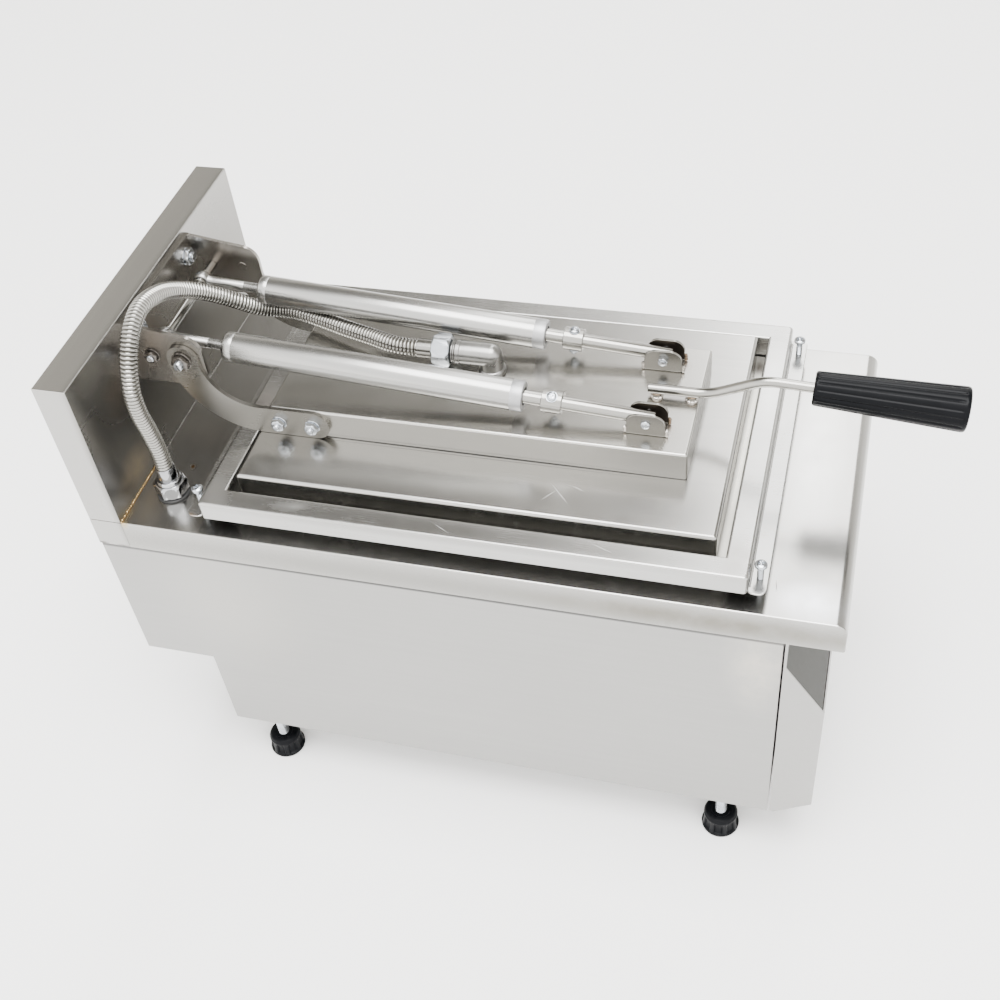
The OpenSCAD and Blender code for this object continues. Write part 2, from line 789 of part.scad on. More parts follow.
module upper_heater() { color("sienna") on_counter() heater(upper_back + heater_d / 2); }

module upper_insulation() {
    x = tray_w / 2 - 6;
    color("beige") on_counter() difference() {
        box_between([-x, -tray_y - tray_d + 6, upper_back + heater_d], [x, -tray_y - 6,
            tray_z - sheet]);
        translate([elbow_pos[0], -elbow_pos[1], upper_back]) cylinder(h = 20, r = 8);
        at_upper_studs() translate([0, 0, upper_back]) cylinder(h = 20, r = 3 + slip);
    }
}

// Side view of a strap: a quarter bend from the pivot, then straight along the raised box.
module strap_outline() {
    bend = [-(pivot_d + strap_bend), pivot_z];
    difference() {
        union() {
            intersection() {
                translate(bend) difference() {
                    circle(r = strap_bend + strap_w / 2, $fn = 128);
                    circle(r = strap_bend - strap_w / 2, $fn = 128);
                }
                square_from([bend[0], strap_z - strap_w], [0, pivot_z]);
            }
            square_from([-strap_tip, strap_z - strap_w / 2], [bend[0], strap_z + strap_w / 2]);
            translate([-strap_tip, strap_z]) circle(r = strap_w / 2);
            translate([-pivot_d, pivot_z]) circle(r = strap_w / 2);
        }
        translate([-pivot_d, pivot_z]) circle(r = pivot_r + run);
        for (y = strap_bolt_y) translate([-y, strap_z]) circle(r = 3 + bolt_slip);
    }
}

module strap(side) {
    color("silver") on_counter() translate([side > 0 ? box_x : -box_x - strap_t, 0, 0])
        rotate([90, 0, 90]) linear_extrude(strap_t) strap_outline();
}

module left_strap() { strap(-1); }
module right_strap() { strap(1); }

// Studs through the wall of the raised box, each with a head inside and a nut outside.
module strap_bolts() {
    outer = box_x + strap_t;
    inner = box_x - sheet;
    color("silver") on_counter() for (m = [0, 1]) mirror([m, 0, 0]) for (y = strap_bolt_y) {
        pin_x(inner - 3, outer + 8, -y, strap_z, 3);
        pin_x(inner - 3, inner, -y, strap_z, 5.5);
        pin_x(outer, outer + 1, -y, strap_z, 6.2);
        hex_x(outer + 1, outer + 6, -y, strap_z, 10);
    }
}

// ---- Spring tubes ----

// The eye turns on the shaft and its shank screws into the tube's rear end.
module rod_end(side) {
    color("silver") along_tube(side) difference() {
        union() {
            rotate([0, 90, 0]) translate([0, 0, -4.5]) cylinder(h = 9, r = eye_r);
            cylinder(h = 38, r = 4.2);
            cylinder(h = tube_start + tube_wall, r = 4);
        }
        rotate([0, 90, 0]) translate([0, 0, -6]) cylinder(h = 12, r = shaft_r + run);
    }
}

module left_rod_end() { rod_end(-1); }
module right_rod_end() { rod_end(1); }

module spring_tube(side) {
    r = tube_d / 2;
    bore = tube_bore / 2;
    c = 1;
    color("gainsboro") along_tube(side) rotate_extrude() polygon([
        [4, tube_start], [r - c, tube_start], [r, tube_start + c], [r, tube_end - c],
        [r - c, tube_end], [rod_r + rod_sway, tube_end], [rod_r + rod_sway, tube_end - tube_wall],
        [bore, tube_end - tube_wall], [bore, tube_start + tube_wall],
        [4, tube_start + tube_wall]]);
}

module left_spring_tube() { spring_tube(-1); }
module right_spring_tube() { spring_tube(1); }

// A compression spring between the piston and the front end of the tube.
module coil_spring(side) {
    sides = 6;
    steps = 12;
    n = spring_turns * steps;
    low = rod_start + piston_h + spring_wire / 2 + 0.2;
    high = tube_end - tube_wall - spring_wire / 2 - 0.2;
    rise = (high - low) / n;
    lean = atan2(rise * steps, 2 * PI * spring_r);
    points = [for (i = [0 : n]) let (a = 360 * i / steps) for (k = [0 : sides - 1])
        let (q = 360 * k / sides, out = spring_wire / 2 * cos(q), up = spring_wire / 2 * sin(q))
        [(spring_r + out) * cos(a) + up * sin(lean) * sin(a),
         (spring_r + out) * sin(a) - up * sin(lean) * cos(a),
         low + rise * i + up * cos(lean)]];
    walls = [for (i = [0 : n - 1]) for (k = [0 : sides - 1]) let (m = (k + 1) % sides)
        each [[i * sides + k, (i + 1) * sides + k, (i + 1) * sides + m],
            [i * sides + k, (i + 1) * sides + m, i * sides + m]]];
    ends = [[for (k = [0 : sides - 1]) k], [for (k = [sides - 1 : -1 : 0]) n * sides + k]];
    color("slategray") along_tube(side) polyhedron(points = points, faces = concat(walls, ends));
}

module left_spring() { coil_spring(-1); }
module right_spring() { coil_spring(1); }

// The rod slides in the tube: a piston inside, a flat drilled end at the clevis.
module spring_rod(side) {
    end = span + 6;
    c = 0.6;
    color("silver") along_tube(side) difference() {
        rotate_extrude() polygon([[0, rod_start], [piston_r, rod_start],
            [piston_r, rod_start + piston_h], [rod_r, rod_start + piston_h], [rod_r, end - c],
            [rod_r - c, end], [0, end]]);
        translate([0, 0, span]) rotate([0, 90, 0]) translate([0, 0, -rod_d])
            cylinder(h = 2 * rod_d, r = clevis_pin_r + run);
        at_collar_bolt(side) translate([0, 0, -rod_d]) cylinder(h = 2 * rod_d, r = 2);
    }
}

module left_rod() { spring_rod(-1); }
module right_rod() { spring_rod(1); }

collar_r = 9;
collar_start = tube_end + collar_gap;

// Children are drawn at the middle of the collar, with z along its cross bolt.
module at_collar_bolt(side) {
    roll = side < 0 ? 25 : 0;
    translate([0, 0, collar_start + collar_len / 2]) rotate([0, 0, roll]) rotate([-90, 0, 0])
        children();
}

// A stop collar clamped on the rod by a cross bolt: it meets the tube when the lid is open.
module collar(side) {
    color("silver") along_tube(side) {
        difference() {
            translate([0, 0, collar_start]) cylinder(h = collar_len, r = collar_r);
            translate([0, 0, collar_start - 1]) cylinder(h = collar_len + 2, r = rod_r);
            at_collar_bolt(side) translate([0, 0, -15]) cylinder(h = 30, r = 2);
        }
        at_collar_bolt(side) {
            translate([0, 0, -collar_r - 3]) cylinder(h = 2 * collar_r + 3, r = 2);
            translate([0, 0, -collar_r - 0.4]) mirror([0, 0, 1]) hex(7, 2.6);
            translate([0, 0, collar_r - 0.4]) cylinder(h = 2.8, r = 3.7);
        }
    }
}

module left_collar() { collar(-1); }
module right_collar() { collar(1); }

// ---- Clevises and handle ----

clevis_gap = 6;          // half the space between the plates
clevis_t = 2;
clevis_len = 29.5;
clevis_h = 19.6;

module clevis_plate(x_low) {
    r = 9;
    rear = clevis_y - clevis_len / 2;
    front = clevis_y + clevis_len / 2;
    top = box_z + clevis_h;
    difference() {
        union() {
            box_between([x_low, -front, box_z], [x_low + clevis_t, -rear, top - r]);
            box_between([x_low, -front + r, box_z], [x_low + clevis_t, -rear - r, top]);
            for (y = [rear + r, front - r]) pin_x(x_low, x_low + clevis_t, -y, top - r, r);
        }
        pin_x(x_low - 1, x_low + clevis_t + 1, -clevis_y, clevis_z, clevis_pin_r);
    }
}

module clevis(side) {
    color("silver") on_counter() translate([side * tube_x, 0, 0]) {
        clevis_plate(-clevis_gap - clevis_t);
        clevis_plate(clevis_gap);
        box_between([-clevis_gap, -clevis_y - clevis_len / 2, box_z],
            [clevis_gap, -clevis_y + clevis_len / 2, box_z + 2]);
    }
}

module left_clevis() { clevis(-1); }
module right_clevis() { clevis(1); }

// Each pin is a screw through both plates, with its head outside and its nut inside.
module clevis_pins() {
    end = clevis_gap + clevis_t;
    color("silver") on_counter() for (m = [0, 1]) mirror([m, 0, 0]) translate([tube_x, 0, 0]) {
        pin_x(-end - 4.5, end + 1, -clevis_y, clevis_z, clevis_pin_r);
        pin_x(end, end + 2.4, -clevis_y, clevis_z, 4.2);
        hex_x(-end - 3.5, -end, -clevis_y, clevis_z, 7);
    }
}

// The rod's centre line as [distance from the rear, height] at each bend.
handle_run = [[430, 70.6], [477.5, 70.6], [518, 89.6], [grip_y + (grip_len - 8) * cos(grip_tilt),
    grip_z - (grip_len - 8) * sin(grip_tilt)]];
handle_bend = 14;

function heading(i) = atan2(handle_run[i + 1][1] - handle_run[i][1],
    handle_run[i + 1][0] - handle_run[i][0]);

// Two rounded bends join three straight lengths, and two welded studs carry the rod.
module handle_rod() {
    r = handle_d / 2;
    lap = 0.5;
    trim = [0, for (i = [1, 2]) handle_bend * tan(abs(heading(i) - heading(i - 1)) / 2), 0];
    color("silver") on_counter() mirror([0, 1, 0]) rotate([90, 0, 0]) rotate([0, 90, 0]) {
        for (i = [0 : 2]) translate([handle_run[i][0], handle_run[i][1], 0]) rotate(heading(i))
            translate([trim[i] - (i > 0 ? lap : 0), 0, 0]) rotate([0, 90, 0])
                cylinder(h = norm(handle_run[i + 1] - handle_run[i]) - trim[i] - trim[i + 1]
                    + (i == 1 ? 2 * lap : lap), r = r);
        for (i = [1, 2]) {
            turn = heading(i) - heading(i - 1);
            way = sign(turn);
            translate([handle_run[i][0], handle_run[i][1], 0]) rotate(heading(i - 1))
                translate([-trim[i], way * handle_bend, 0]) rotate(turn > 0 ? -90 : 90 + turn)
                    rotate_extrude(angle = abs(turn)) translate([handle_bend, 0])
                        circle(r = r + press);
        }
    }
    color("silver") on_counter() for (y = [-437, -464]) translate([0, y, box_z])
        cylinder(h = 6, r = 3.5);
}

module handle_grip() {
    rear_r = 13;
    front_r = 17;
    bore_r = handle_d / 2 + run;
    c = 1.5;
    color("black") on_counter() translate([0, -grip_y, grip_z]) rotate([90 + grip_tilt, 0, 0])
        rotate_extrude() polygon([[bore_r, 0], [rear_r - c, 0], [rear_r, c],
            [front_r, grip_len - c], [front_r - c, grip_len], [0, grip_len],
            [0, grip_len - 7.5], [bore_r, grip_len - 7.5]]);
}

countertop();
splashback();
left_side_panel();
right_side_panel();
rear_panel();
base_panel();
front_panel();
control_panel();
foot_front_left();
foot_front_right();
foot_rear_left();
foot_rear_right();
hinge_bracket();
hinge_bolts();
spring_shaft();
plate_frame();
lower_plate();
lower_heater();
lower_insulation();
lower_pan();
jack_screw_front_left();
jack_screw_front_right();
jack_screw_rear_left();
jack_screw_rear_right();
thermostats();
left_knob();
right_knob();
pilot_lamps();
switch_housing();
switch_rocker();
terminal_block();
cable_gland();
conduit_gland();
conduit();
lid_tray();
lid_box();
upper_plate();
upper_heater();
upper_insulation();
lid_nuts();
left_strap();
right_strap();
strap_bolts();
left_clevis();
right_clevis();
clevis_pins();
handle_rod();
handle_grip();
conduit_elbow();
conduit_nut();
left_rod_end();
right_rod_end();
left_spring_tube();
right_spring_tube();
left_spring();
right_spring();
left_rod();
right_rod();
left_collar();
right_collar();
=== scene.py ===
"""Looks of the clamshell contact grill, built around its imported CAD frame."""

import math

import bmesh
import bpy
from mathutils import Matrix, Vector, noise


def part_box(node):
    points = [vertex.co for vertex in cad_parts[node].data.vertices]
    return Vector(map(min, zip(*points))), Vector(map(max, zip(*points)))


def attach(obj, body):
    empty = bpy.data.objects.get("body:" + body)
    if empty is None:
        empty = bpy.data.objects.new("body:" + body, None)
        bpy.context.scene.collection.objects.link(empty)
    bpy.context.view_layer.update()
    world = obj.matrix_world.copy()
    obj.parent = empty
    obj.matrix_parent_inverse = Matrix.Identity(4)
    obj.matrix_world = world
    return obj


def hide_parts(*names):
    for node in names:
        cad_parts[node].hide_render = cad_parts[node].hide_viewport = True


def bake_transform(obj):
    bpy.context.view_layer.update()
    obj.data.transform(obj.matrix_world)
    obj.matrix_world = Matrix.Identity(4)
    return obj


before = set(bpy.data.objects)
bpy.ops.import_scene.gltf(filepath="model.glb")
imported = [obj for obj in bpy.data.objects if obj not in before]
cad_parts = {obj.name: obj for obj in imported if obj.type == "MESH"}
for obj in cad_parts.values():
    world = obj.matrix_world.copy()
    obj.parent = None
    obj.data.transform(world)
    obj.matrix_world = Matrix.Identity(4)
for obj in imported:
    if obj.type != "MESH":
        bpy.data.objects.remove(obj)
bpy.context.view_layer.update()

MM = 0.001
REAR_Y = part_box("splashback")[1].y
COUNTER_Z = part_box("countertop")[1].z
SIDES = {"left": -1, "right": 1}


def at(x, y, z):
    """A point given in millimetres from the rear edge of the counter-top's centre line."""
    return Vector((x * MM, REAR_Y + y * MM, COUNTER_Z + z * MM))


# ---- Camera ----

CAMERA_AT = at(-761.9, -579.1, 755.7)
CAMERA_RIGHT = Vector((0.25348, -0.96344, -0.08679))
CAMERA_UP = Vector((0.71180, 0.12502, 0.69116))

camera_data = bpy.data.cameras.new("camera")
camera_data.lens = 48.06
camera_data.sensor_width = 36
camera_data.shift_x = -0.0062
camera_data.shift_y = 0.0015
camera_data.clip_start = 0.01
camera_data.clip_end = 100
camera = bpy.data.objects.new("camera", camera_data)
bpy.context.scene.collection.objects.link(camera)
back = CAMERA_RIGHT.cross(CAMERA_UP)
turn = Matrix((CAMERA_RIGHT, CAMERA_UP, back)).transposed()
camera.matrix_world = Matrix.Translation(CAMERA_AT) @ turn.to_4x4()
bpy.context.scene.camera = camera


# ---- Materials ----


class Nodes:
    """A short way to write a material's node tree."""

    def __init__(self, name):
        self.material = bpy.data.materials.new(name)
        self.material.use_nodes = True
        self.tree = self.material.node_tree
        self.tree.nodes.clear()
        self.output = self.tree.nodes.new("ShaderNodeOutputMaterial")
        self.shader = self.tree.nodes.new("ShaderNodeBsdfPrincipled")
        self.link(self.shader.outputs[0], self.output.inputs[0])
        self.place = self.tree.nodes.new("ShaderNodeTexCoord").outputs["Object"]

    def link(self, a, b):
        self.tree.links.new(a, b)

    def stretched(self, scale):
        n = self.tree.nodes.new("ShaderNodeMapping")
        n.inputs["Scale"].default_value = scale
        self.link(self.place, n.inputs["Vector"])
        return n.outputs[0]

    def noise(self, scale, detail=2.0, rough=0.5, stretch=(1, 1, 1)):
        n = self.tree.nodes.new("ShaderNodeTexNoise")
        n.inputs["Scale"].default_value = scale
        n.inputs["Detail"].default_value = detail
        n.inputs["Roughness"].default_value = rough
        self.link(self.stretched(stretch), n.inputs["Vector"])
        return n.outputs["Fac"]

    def ramp(self, value, stops):
        n = self.tree.nodes.new("ShaderNodeValToRGB")
        ramp = n.color_ramp
        while len(ramp.elements) < len(stops):
            ramp.elements.new(0.5)
        for e, (where, c) in zip(ramp.elements, stops):
            e.position = where
            e.color = (c, c, c, 1) if isinstance(c, (int, float)) else (*c, 1)
        self.link(value, n.inputs[0])
        return n.outputs["Color"]

    def maths(self, kind, a, b):
        n = self.tree.nodes.new("ShaderNodeMath")
        n.operation = kind
        for i, v in enumerate((a, b)):
            if isinstance(v, (int, float)):
                n.inputs[i].default_value = v
            else:
                self.link(v, n.inputs[i])
        return n.outputs[0]

    def between(self, value, low, high):
        n = self.tree.nodes.new("ShaderNodeMapRange")
        n.inputs["To Min"].default_value = low
        n.inputs["To Max"].default_value = high
        self.link(value, n.inputs["Value"])
        return n.outputs[0]

    def mix(self, factor, a, b, kind="MIX"):
        n = self.tree.nodes.new("ShaderNodeMix")
        n.data_type = "RGBA"
        n.blend_type = kind
        for socket, v in ((n.inputs[0], factor), (n.inputs[6], a), (n.inputs[7], b)):
            if isinstance(v, (int, float)):
                socket.default_value = v
            elif isinstance(v, tuple):
                socket.default_value = (*v, 1)
            else:
                self.link(v, socket)
        return n.outputs[2]

    def mark(self, point, size, turn=0.0):
        """1 at a point in the row frame, falling to 0 on an ellipsoid turned about z."""
        n = self.tree.nodes.new("ShaderNodeMapping")
        n.vector_type = "TEXTURE"
        n.inputs["Location"].default_value = point
        n.inputs["Rotation"].default_value = (0, 0, math.radians(turn))
        n.inputs["Scale"].default_value = [s * MM for s in size]
        self.link(self.place, n.inputs["Vector"])
        d = self.tree.nodes.new("ShaderNodeVectorMath")
        d.operation = "LENGTH"
        self.link(n.outputs[0], d.inputs[0])
        r = self.tree.nodes.new("ShaderNodeMapRange")
        r.interpolation_type = "SMOOTHSTEP"
        r.inputs["From Min"].default_value = 1.0
        r.inputs["From Max"].default_value = 0.0
        self.link(d.outputs["Value"], r.inputs["Value"])
        return r.outputs[0]

    def bump(self, height, strength, distance):
        n = self.tree.nodes.new("ShaderNodeBump")
        n.inputs["Strength"].default_value = strength
        n.inputs["Distance"].default_value = distance
        self.link(height, n.inputs["Height"])
        if self.shader.inputs["Normal"].is_linked:
            self.link(self.shader.inputs["Normal"].links[0].from_socket, n.inputs["Normal"])
        self.link(n.outputs[0], self.shader.inputs["Normal"])

    def set(self, **values):
        for k, v in values.items():
            socket = self.shader.inputs[k.replace("_", " ")]
            if isinstance(v, (int, float)):
                socket.default_value = v
            elif isinstance(v, tuple):
                socket.default_value = (*v, 1)
            else:
                self.link(v, socket)
        return self


GRAIN = {"x": (0.015, 1, 1), "y": (1, 0.015, 1), "z": (1, 1, 0.015)}


def steel(name, colour, rough, grain="y", depth=0.04, wave=0.10, marks=()):
    """Brushed stainless: a fine grain along one axis, cloudy wear, and marks that add scratches,
    tints, painted reflections and painted shade.
    """
    n = Nodes(name)
    fine = n.noise(1500, 3, 0.6, GRAIN[grain])
    streak = n.noise(260, 4, 0.6, GRAIN[grain])
    clouds = n.noise(7, 3, 0.5)
    smears = n.noise(42, 4, 0.6)
    light = tuple(min(1, c * 1.06) for c in colour)
    dark = tuple(c * 0.93 for c in colour)
    tone = n.mix(n.between(streak, 0.0, 1.0), dark, light)
    tone = n.mix(n.between(clouds, 0.0, 0.6), tone, tuple(c * 0.93 for c in colour))
    spread = min(0.04, depth)
    level = n.maths("ADD", n.between(fine, rough - spread, rough + spread),
                    n.between(clouds, -0.05, 0.05))
    level = n.maths("ADD", level, n.between(smears, -spread, spread))
    for point, size, turn, tint, gloss, patchy in marks:
        where = n.mark(point, size, turn)
        if patchy:
            where = n.maths("MULTIPLY", where, n.between(smears, -0.3, 2.0))
        tone = n.mix(where, tone, tint)
        level = n.maths("ADD", level, n.maths("MULTIPLY", where, gloss))
    n.set(Base_Color=tone, Metallic=1.0, Roughness=level)
    n.bump(fine, depth, 0.00003)
    n.bump(streak, depth, 0.00006)
    n.bump(clouds, wave, 0.0012)
    return n.material


def metal(name, colour, rough, pits=300, depth=0.1):
    """Plated, cast or turned metal with small pits and a cloudy tone."""
    n = Nodes(name)
    grit = n.noise(pits * 4, 3, 0.6)
    patches = n.noise(pits / 3, 4, 0.6)
    n.set(Base_Color=n.mix(n.between(patches, 0, 1), tuple(c * 0.82 for c in colour), colour),
          Metallic=1.0, Roughness=n.between(patches, rough - 0.06, rough + 0.10))
    n.bump(grit, depth, 0.0001)
    return n.material


def plastic(name, colour, rough, grit=900, depth=0.15, gloss=0.5):
    """Moulded plastic: faint orange peel and dusty wear."""
    n = Nodes(name)
    peel = n.noise(grit, 2)
    dust = n.noise(60, 4, 0.6)
    n.set(Base_Color=n.mix(n.between(dust, 0, 0.5), colour, tuple(c * 1.4 + 0.003 for c in colour)),
          Roughness=n.between(dust, rough - 0.06, rough + 0.12), IOR=1.5,
          Specular_IOR_Level=gloss)
    n.bump(peel, depth, 0.00008)
    return n.material


STEEL = (0.39, 0.384, 0.368)
PALE = (0.43, 0.427, 0.415)
BROWN = (0.20, 0.115, 0.045)
STRAW = (0.46, 0.36, 0.20)
# PAINTED_SHADE is a dark tint for painted shade: dark lines at seams and under raised parts
PAINTED_SHADE = (0.16, 0.15, 0.14)

# Each mark is a point, its size in millimetres, its turn, its tint, the change in roughness
# and whether it is patchy. The largest ones are painted dark reflections of the room, the long
# thin dark ones are painted shadow along seams and beside parts, and a few pale glossy ones are
# painted highlights.
counter_marks = [
    (at(-78, -60, 0), (5, 3.4, 6), 25, (0.13, 0.07, 0.02), 0.15, True),
    (at(-96, -86, 0), (8, 5, 8), 0, (0.24, 0.22, 0.18), 0.1, True),
    (at(-148, -30, 0), (34, 7, 9), 0, STRAW, 0.05, True),
    # painted highlight: a lighter, glossier band across the front of the counter-top
    (at(20, -560, 0), (150, 34, 10), 0, PALE, -0.06, True),
    (at(-132, -575, 0), (26, 40, 30), 0, (0.56, 0.57, 0.60), -0.05, True),
    # painted shade: a thin dark line on the counter-top just in front of the frame's raised flange
    (at(-120, -546, 0), (7, 0.5, 3), 8, PAINTED_SHADE, 0.2, False),
    # painted shade: the left apron darkened along its whole length, a dark reflection
    (at(-150, -340, -17), (1.4, 800, 26), 0, (0.25, 0.246, 0.23), 0.05, False),
    # painted shade: a darker patch near the front of the left apron, a dark reflection
    (at(-150, -500, -15), (1.6, 190, 16), 0, (0.19, 0.18, 0.155), 0.05, True),
]
splash_marks = [
    # painted shade: the whole front face of the splashback darkened, a dark reflection of the room
    (at(0, -29, 60), (420, 8, 170), 0, (0.17, 0.163, 0.15), 0.02, False),
    # painted reflections: two warm, lighter patches of the parts in front of the splashback
    (at(-110, -29, 20), (40, 12, 26), 0, (0.40, 0.34, 0.26), 0.06, True),
    (at(-95, -29, 90), (34, 12, 30), 0, (0.40, 0.35, 0.30), -0.04, True),
    # painted shade: dark spots at the seam under the splashback's skirt
    (at(-150, -4, -27), (4, 7, 2.4), 0, PAINTED_SHADE, 0.2, True),
    (at(-150, -22, -27.4), (4, 8, 2.0), 0, PAINTED_SHADE, 0.2, True),
]
frame_marks = [
    (at(-132, -112, 29), (26, 18, 8), 0, (0.40, 0.39, 0.37), 0.09, True),
    # painted shade: the left rail darkened along its length, a dark reflection
    (at(-134, -300, 27), (16, 330, 9), 0, (0.24, 0.236, 0.225), 0.0, False),
    (at(-133, -172, 29), (8, 24, 5), 8, PALE, 0.10, True),
    (at(-128, -515, 29), (34, 24, 9), 0, (0.38, 0.37, 0.35), 0.08, True),
    # painted highlight: a lighter, glossier patch on the front rail
    (at(60, -518, 29), (70, 16, 9), 0, PALE, -0.08, True),
    (at(-134, -298, 29), (9, 0.45, 3), 62, (0.66, 0.66, 0.64), 0.12, False),
    (at(-132, -420, 29), (12, 0.4, 3), 70, (0.66, 0.66, 0.64), 0.10, False),
    (at(-142, -86, 14), (4, 14, 4), 0, BROWN, 0.1, True),
]
tray_marks = [
    # painted reflections: dark patches on the tray below the strap bolts, the bolts reflected
    (at(-70, -150, 37.7), (16, 7, 5), 0, (0.24, 0.235, 0.225), -0.02, True),
    (at(-70, -176, 37.7), (12, 6, 5), 0, (0.26, 0.255, 0.245), -0.02, True),
    (at(-92, -380, 37.7), (15, 0.5, 3), 42, (0.72, 0.72, 0.70), 0.15, False),
    (at(-94, -372, 37.7), (10, 0.45, 3), -38, (0.72, 0.72, 0.70), 0.15, False),
    (at(-84, -392, 37.7), (8, 0.4, 3), 66, (0.72, 0.72, 0.70), 0.15, False),
    # painted shade: a large dark patch at the front left of the tray, a dark reflection
    (at(-96, -455, 37.7), (60, 90, 8), 0, (0.25, 0.246, 0.235), -0.02, False),
    (at(0, -494, 30), (110, 10, 12), 0, (0.40, 0.38, 0.35), 0.05, True),
    # painted shadow: two dark lines on the tray along the foot of the raised box
    (at(-64.5, -303, 37.7), (0.6, 230, 3), 0, (0.14, 0.135, 0.13), 0.1, False),
    (at(-62.1, -303, 37.7), (0.7, 230, 3), 0, (0.05, 0.05, 0.05), 0.2, False),
]
box_marks = [
    (at(0, -452, 63.3), (11, 34, 5), 0, (0.36, 0.35, 0.335), 0.10, True),
    (at(0, -437, 63.3), (7, 7, 4), 0, (0.46, 0.36, 0.28), 0.10, True),
    (at(0, -464, 63.3), (7, 6, 4), 0, (0.46, 0.36, 0.28), 0.10, True),
    (at(-37, -452, 63.3), (13, 8, 5), 0, (0.34, 0.32, 0.30), 0.10, True),
    (at(37, -452, 63.3), (13, 8, 5), 0, (0.34, 0.32, 0.30), 0.10, True),
    # painted shade: the front end of the raised box darkened, a dark reflection
    (at(0, -472, 50), (110, 5, 24), 0, (0.16, 0.155, 0.145), 0.05, False),
    # painted shadow: dark lines round the foot of the raised box where it meets the tray
    (at(-61.5, -303, 37.9), (3, 700, 0.8), 0, (0.04, 0.04, 0.04), 0.2, False),
    (at(0, -470.5, 37.9), (300, 3, 0.8), 0, (0.04, 0.04, 0.04), 0.2, False),
]
# All three are painted shade: darker patches on the hinge bracket's back and cheeks, dark
# reflections
bracket_painted_shade = [
    (at(-40, -32, 100), (46, 10, 40), 0, (0.27, 0.235, 0.20), 0.02, False),
    (at(58, -60, 110), (10, 26, 24), 0, (0.24, 0.21, 0.185), 0.0, False),
    (at(-59, -55, 105), (12, 60, 60), 0, (0.14, 0.13, 0.118), 0.0, False),
]
side_marks = [
    (at(-150, -540, -60), (6, 34, 80), 0, (0.52, 0.49, 0.44), 0.03, True),
    # painted reflection: a lighter, glossier patch on the rear of the side panel
    (at(-150, -100, -90), (6, 90, 110), 0, (0.37, 0.36, 0.335), -0.02, False),
    # painted shadow: dark lines on the side panel under the counter-top's apron
    (at(-150, -300, -30.8), (9, 900, 2.4), 0, (0.03, 0.03, 0.03), 0.2, False),
    (at(-150, -300, -32.2), (9, 900, 0.9), 0, (0.12, 0.12, 0.12), 0.1, False),
    # painted shadow: a dark line down the side panel's front seam
    (at(-150, -558, -160), (9, 1.6, 700), 0, (0.02, 0.02, 0.02), 0.2, False),
]
steel_counter = steel("steel_counter", STEEL, 0.24, "x", marks=counter_marks)
steel_splash = steel("steel_splash", STEEL, 0.26, "x", 0.003, 0.04, splash_marks)
steel_side = steel("steel_side", (0.325, 0.322, 0.312), 0.33, "y", marks=side_marks)
steel_front = steel("steel_front", (0.34, 0.336, 0.325), 0.30, "x")
steel_rear = steel("steel_rear", STEEL, 0.34, "x")
steel_frame = steel("steel_frame", PALE, 0.26, "y", marks=frame_marks)
steel_tray = steel("steel_tray", STEEL, 0.22, "y", wave=0.14, marks=tray_marks)
steel_box = steel("steel_box", (0.43, 0.42, 0.395), 0.24, "y", marks=box_marks)
steel_bracket = steel("steel_bracket", (0.33, 0.315, 0.29), 0.27, "x", 0.003, 0.02,
                      bracket_painted_shade)
# painted shade: a near-black steel for the clevis plates' inner faces
clevis_inside_shade = metal("clevis_inside_shade", (0.055, 0.046, 0.038), 0.38)
steel_strap = steel("steel_strap", (0.24, 0.231, 0.21), 0.27, "y", 0.004, 0.02)
steel_clevis = steel("steel_clevis", (0.21, 0.203, 0.186), 0.27, "y", 0.004, 0.02)
steel_tube = steel("steel_tube", (0.34, 0.337, 0.326), 0.26, "y", 0.015, 0.01)
tube_matt = metal("tube_matt", (0.40, 0.402, 0.41), 0.42, 700, 0.1)
steel_rod = steel("steel_rod", (0.27, 0.264, 0.247), 0.21, "y", 0.015, 0.01)
# painted shade: the sloped control face under the counter-top's overhang is a near-black steel
control_painted_shade = metal("control_face_painted_shade", (0.085, 0.085, 0.08), 0.5, 600, 0.05)
zinc = metal("zinc_plate", (0.46, 0.485, 0.52), 0.16, 500)
chrome = metal("chrome_plate", (0.38, 0.385, 0.40), 0.07, 500, 0.03)
cast_grey = metal("cast_alloy", (0.29, 0.286, 0.277), 0.27, 420, 0.2)
hose_steel = metal("hose_strip", (0.30, 0.294, 0.275), 0.20, 300, 0.05)
# painted shade: a dark steel for the valleys of the conduit's corrugation
hose_groove_shade = metal("hose_groove_shade", (0.07, 0.066, 0.058), 0.35, 300, 0.05)
dark_steel = metal("black_steel", (0.13, 0.12, 0.11), 0.24)
weld_brown = metal("weld_bead", (0.24, 0.18, 0.13), 0.40, 500, 0.5)
weld_bright = metal("weld_bright", (0.52, 0.49, 0.45), 0.26, 500, 0.4)
weld_gold = metal("weld_gold", (0.42, 0.29, 0.14), 0.28, 500, 0.3)
plate_iron = metal("plate_iron", (0.07, 0.07, 0.07), 0.48, 400, 0.3)
plate_gap_light_and_shade = [
    # painted light and shade in the front gap between tray and frame: a dark corner and a bright
    # cream strip
    (at(112, -505, 9), (26, 9, 9), 0, (0.10, 0.09, 0.08), 0.2, True),
    (at(0, -505, 9), (130, 3, 9), 0, (0.55, 0.53, 0.47), -0.05, True),
]
plate_ground = steel("plate_ground", (0.42, 0.41, 0.375), 0.30, "x", marks=plate_gap_light_and_shade)
sheath = metal("heater_sheath", (0.20, 0.15, 0.11), 0.45)
spring_dark = metal("spring_steel", (0.24, 0.24, 0.26), 0.30)
gasket = plastic("gasket", (0.012, 0.012, 0.012), 0.5)
board = plastic("ceramic_board", (0.62, 0.58, 0.50), 0.85, 1400, 0.4)
bakelite = plastic("bakelite", (0.0012, 0.0014, 0.002), 0.20, 500, 0.04, 0.06)
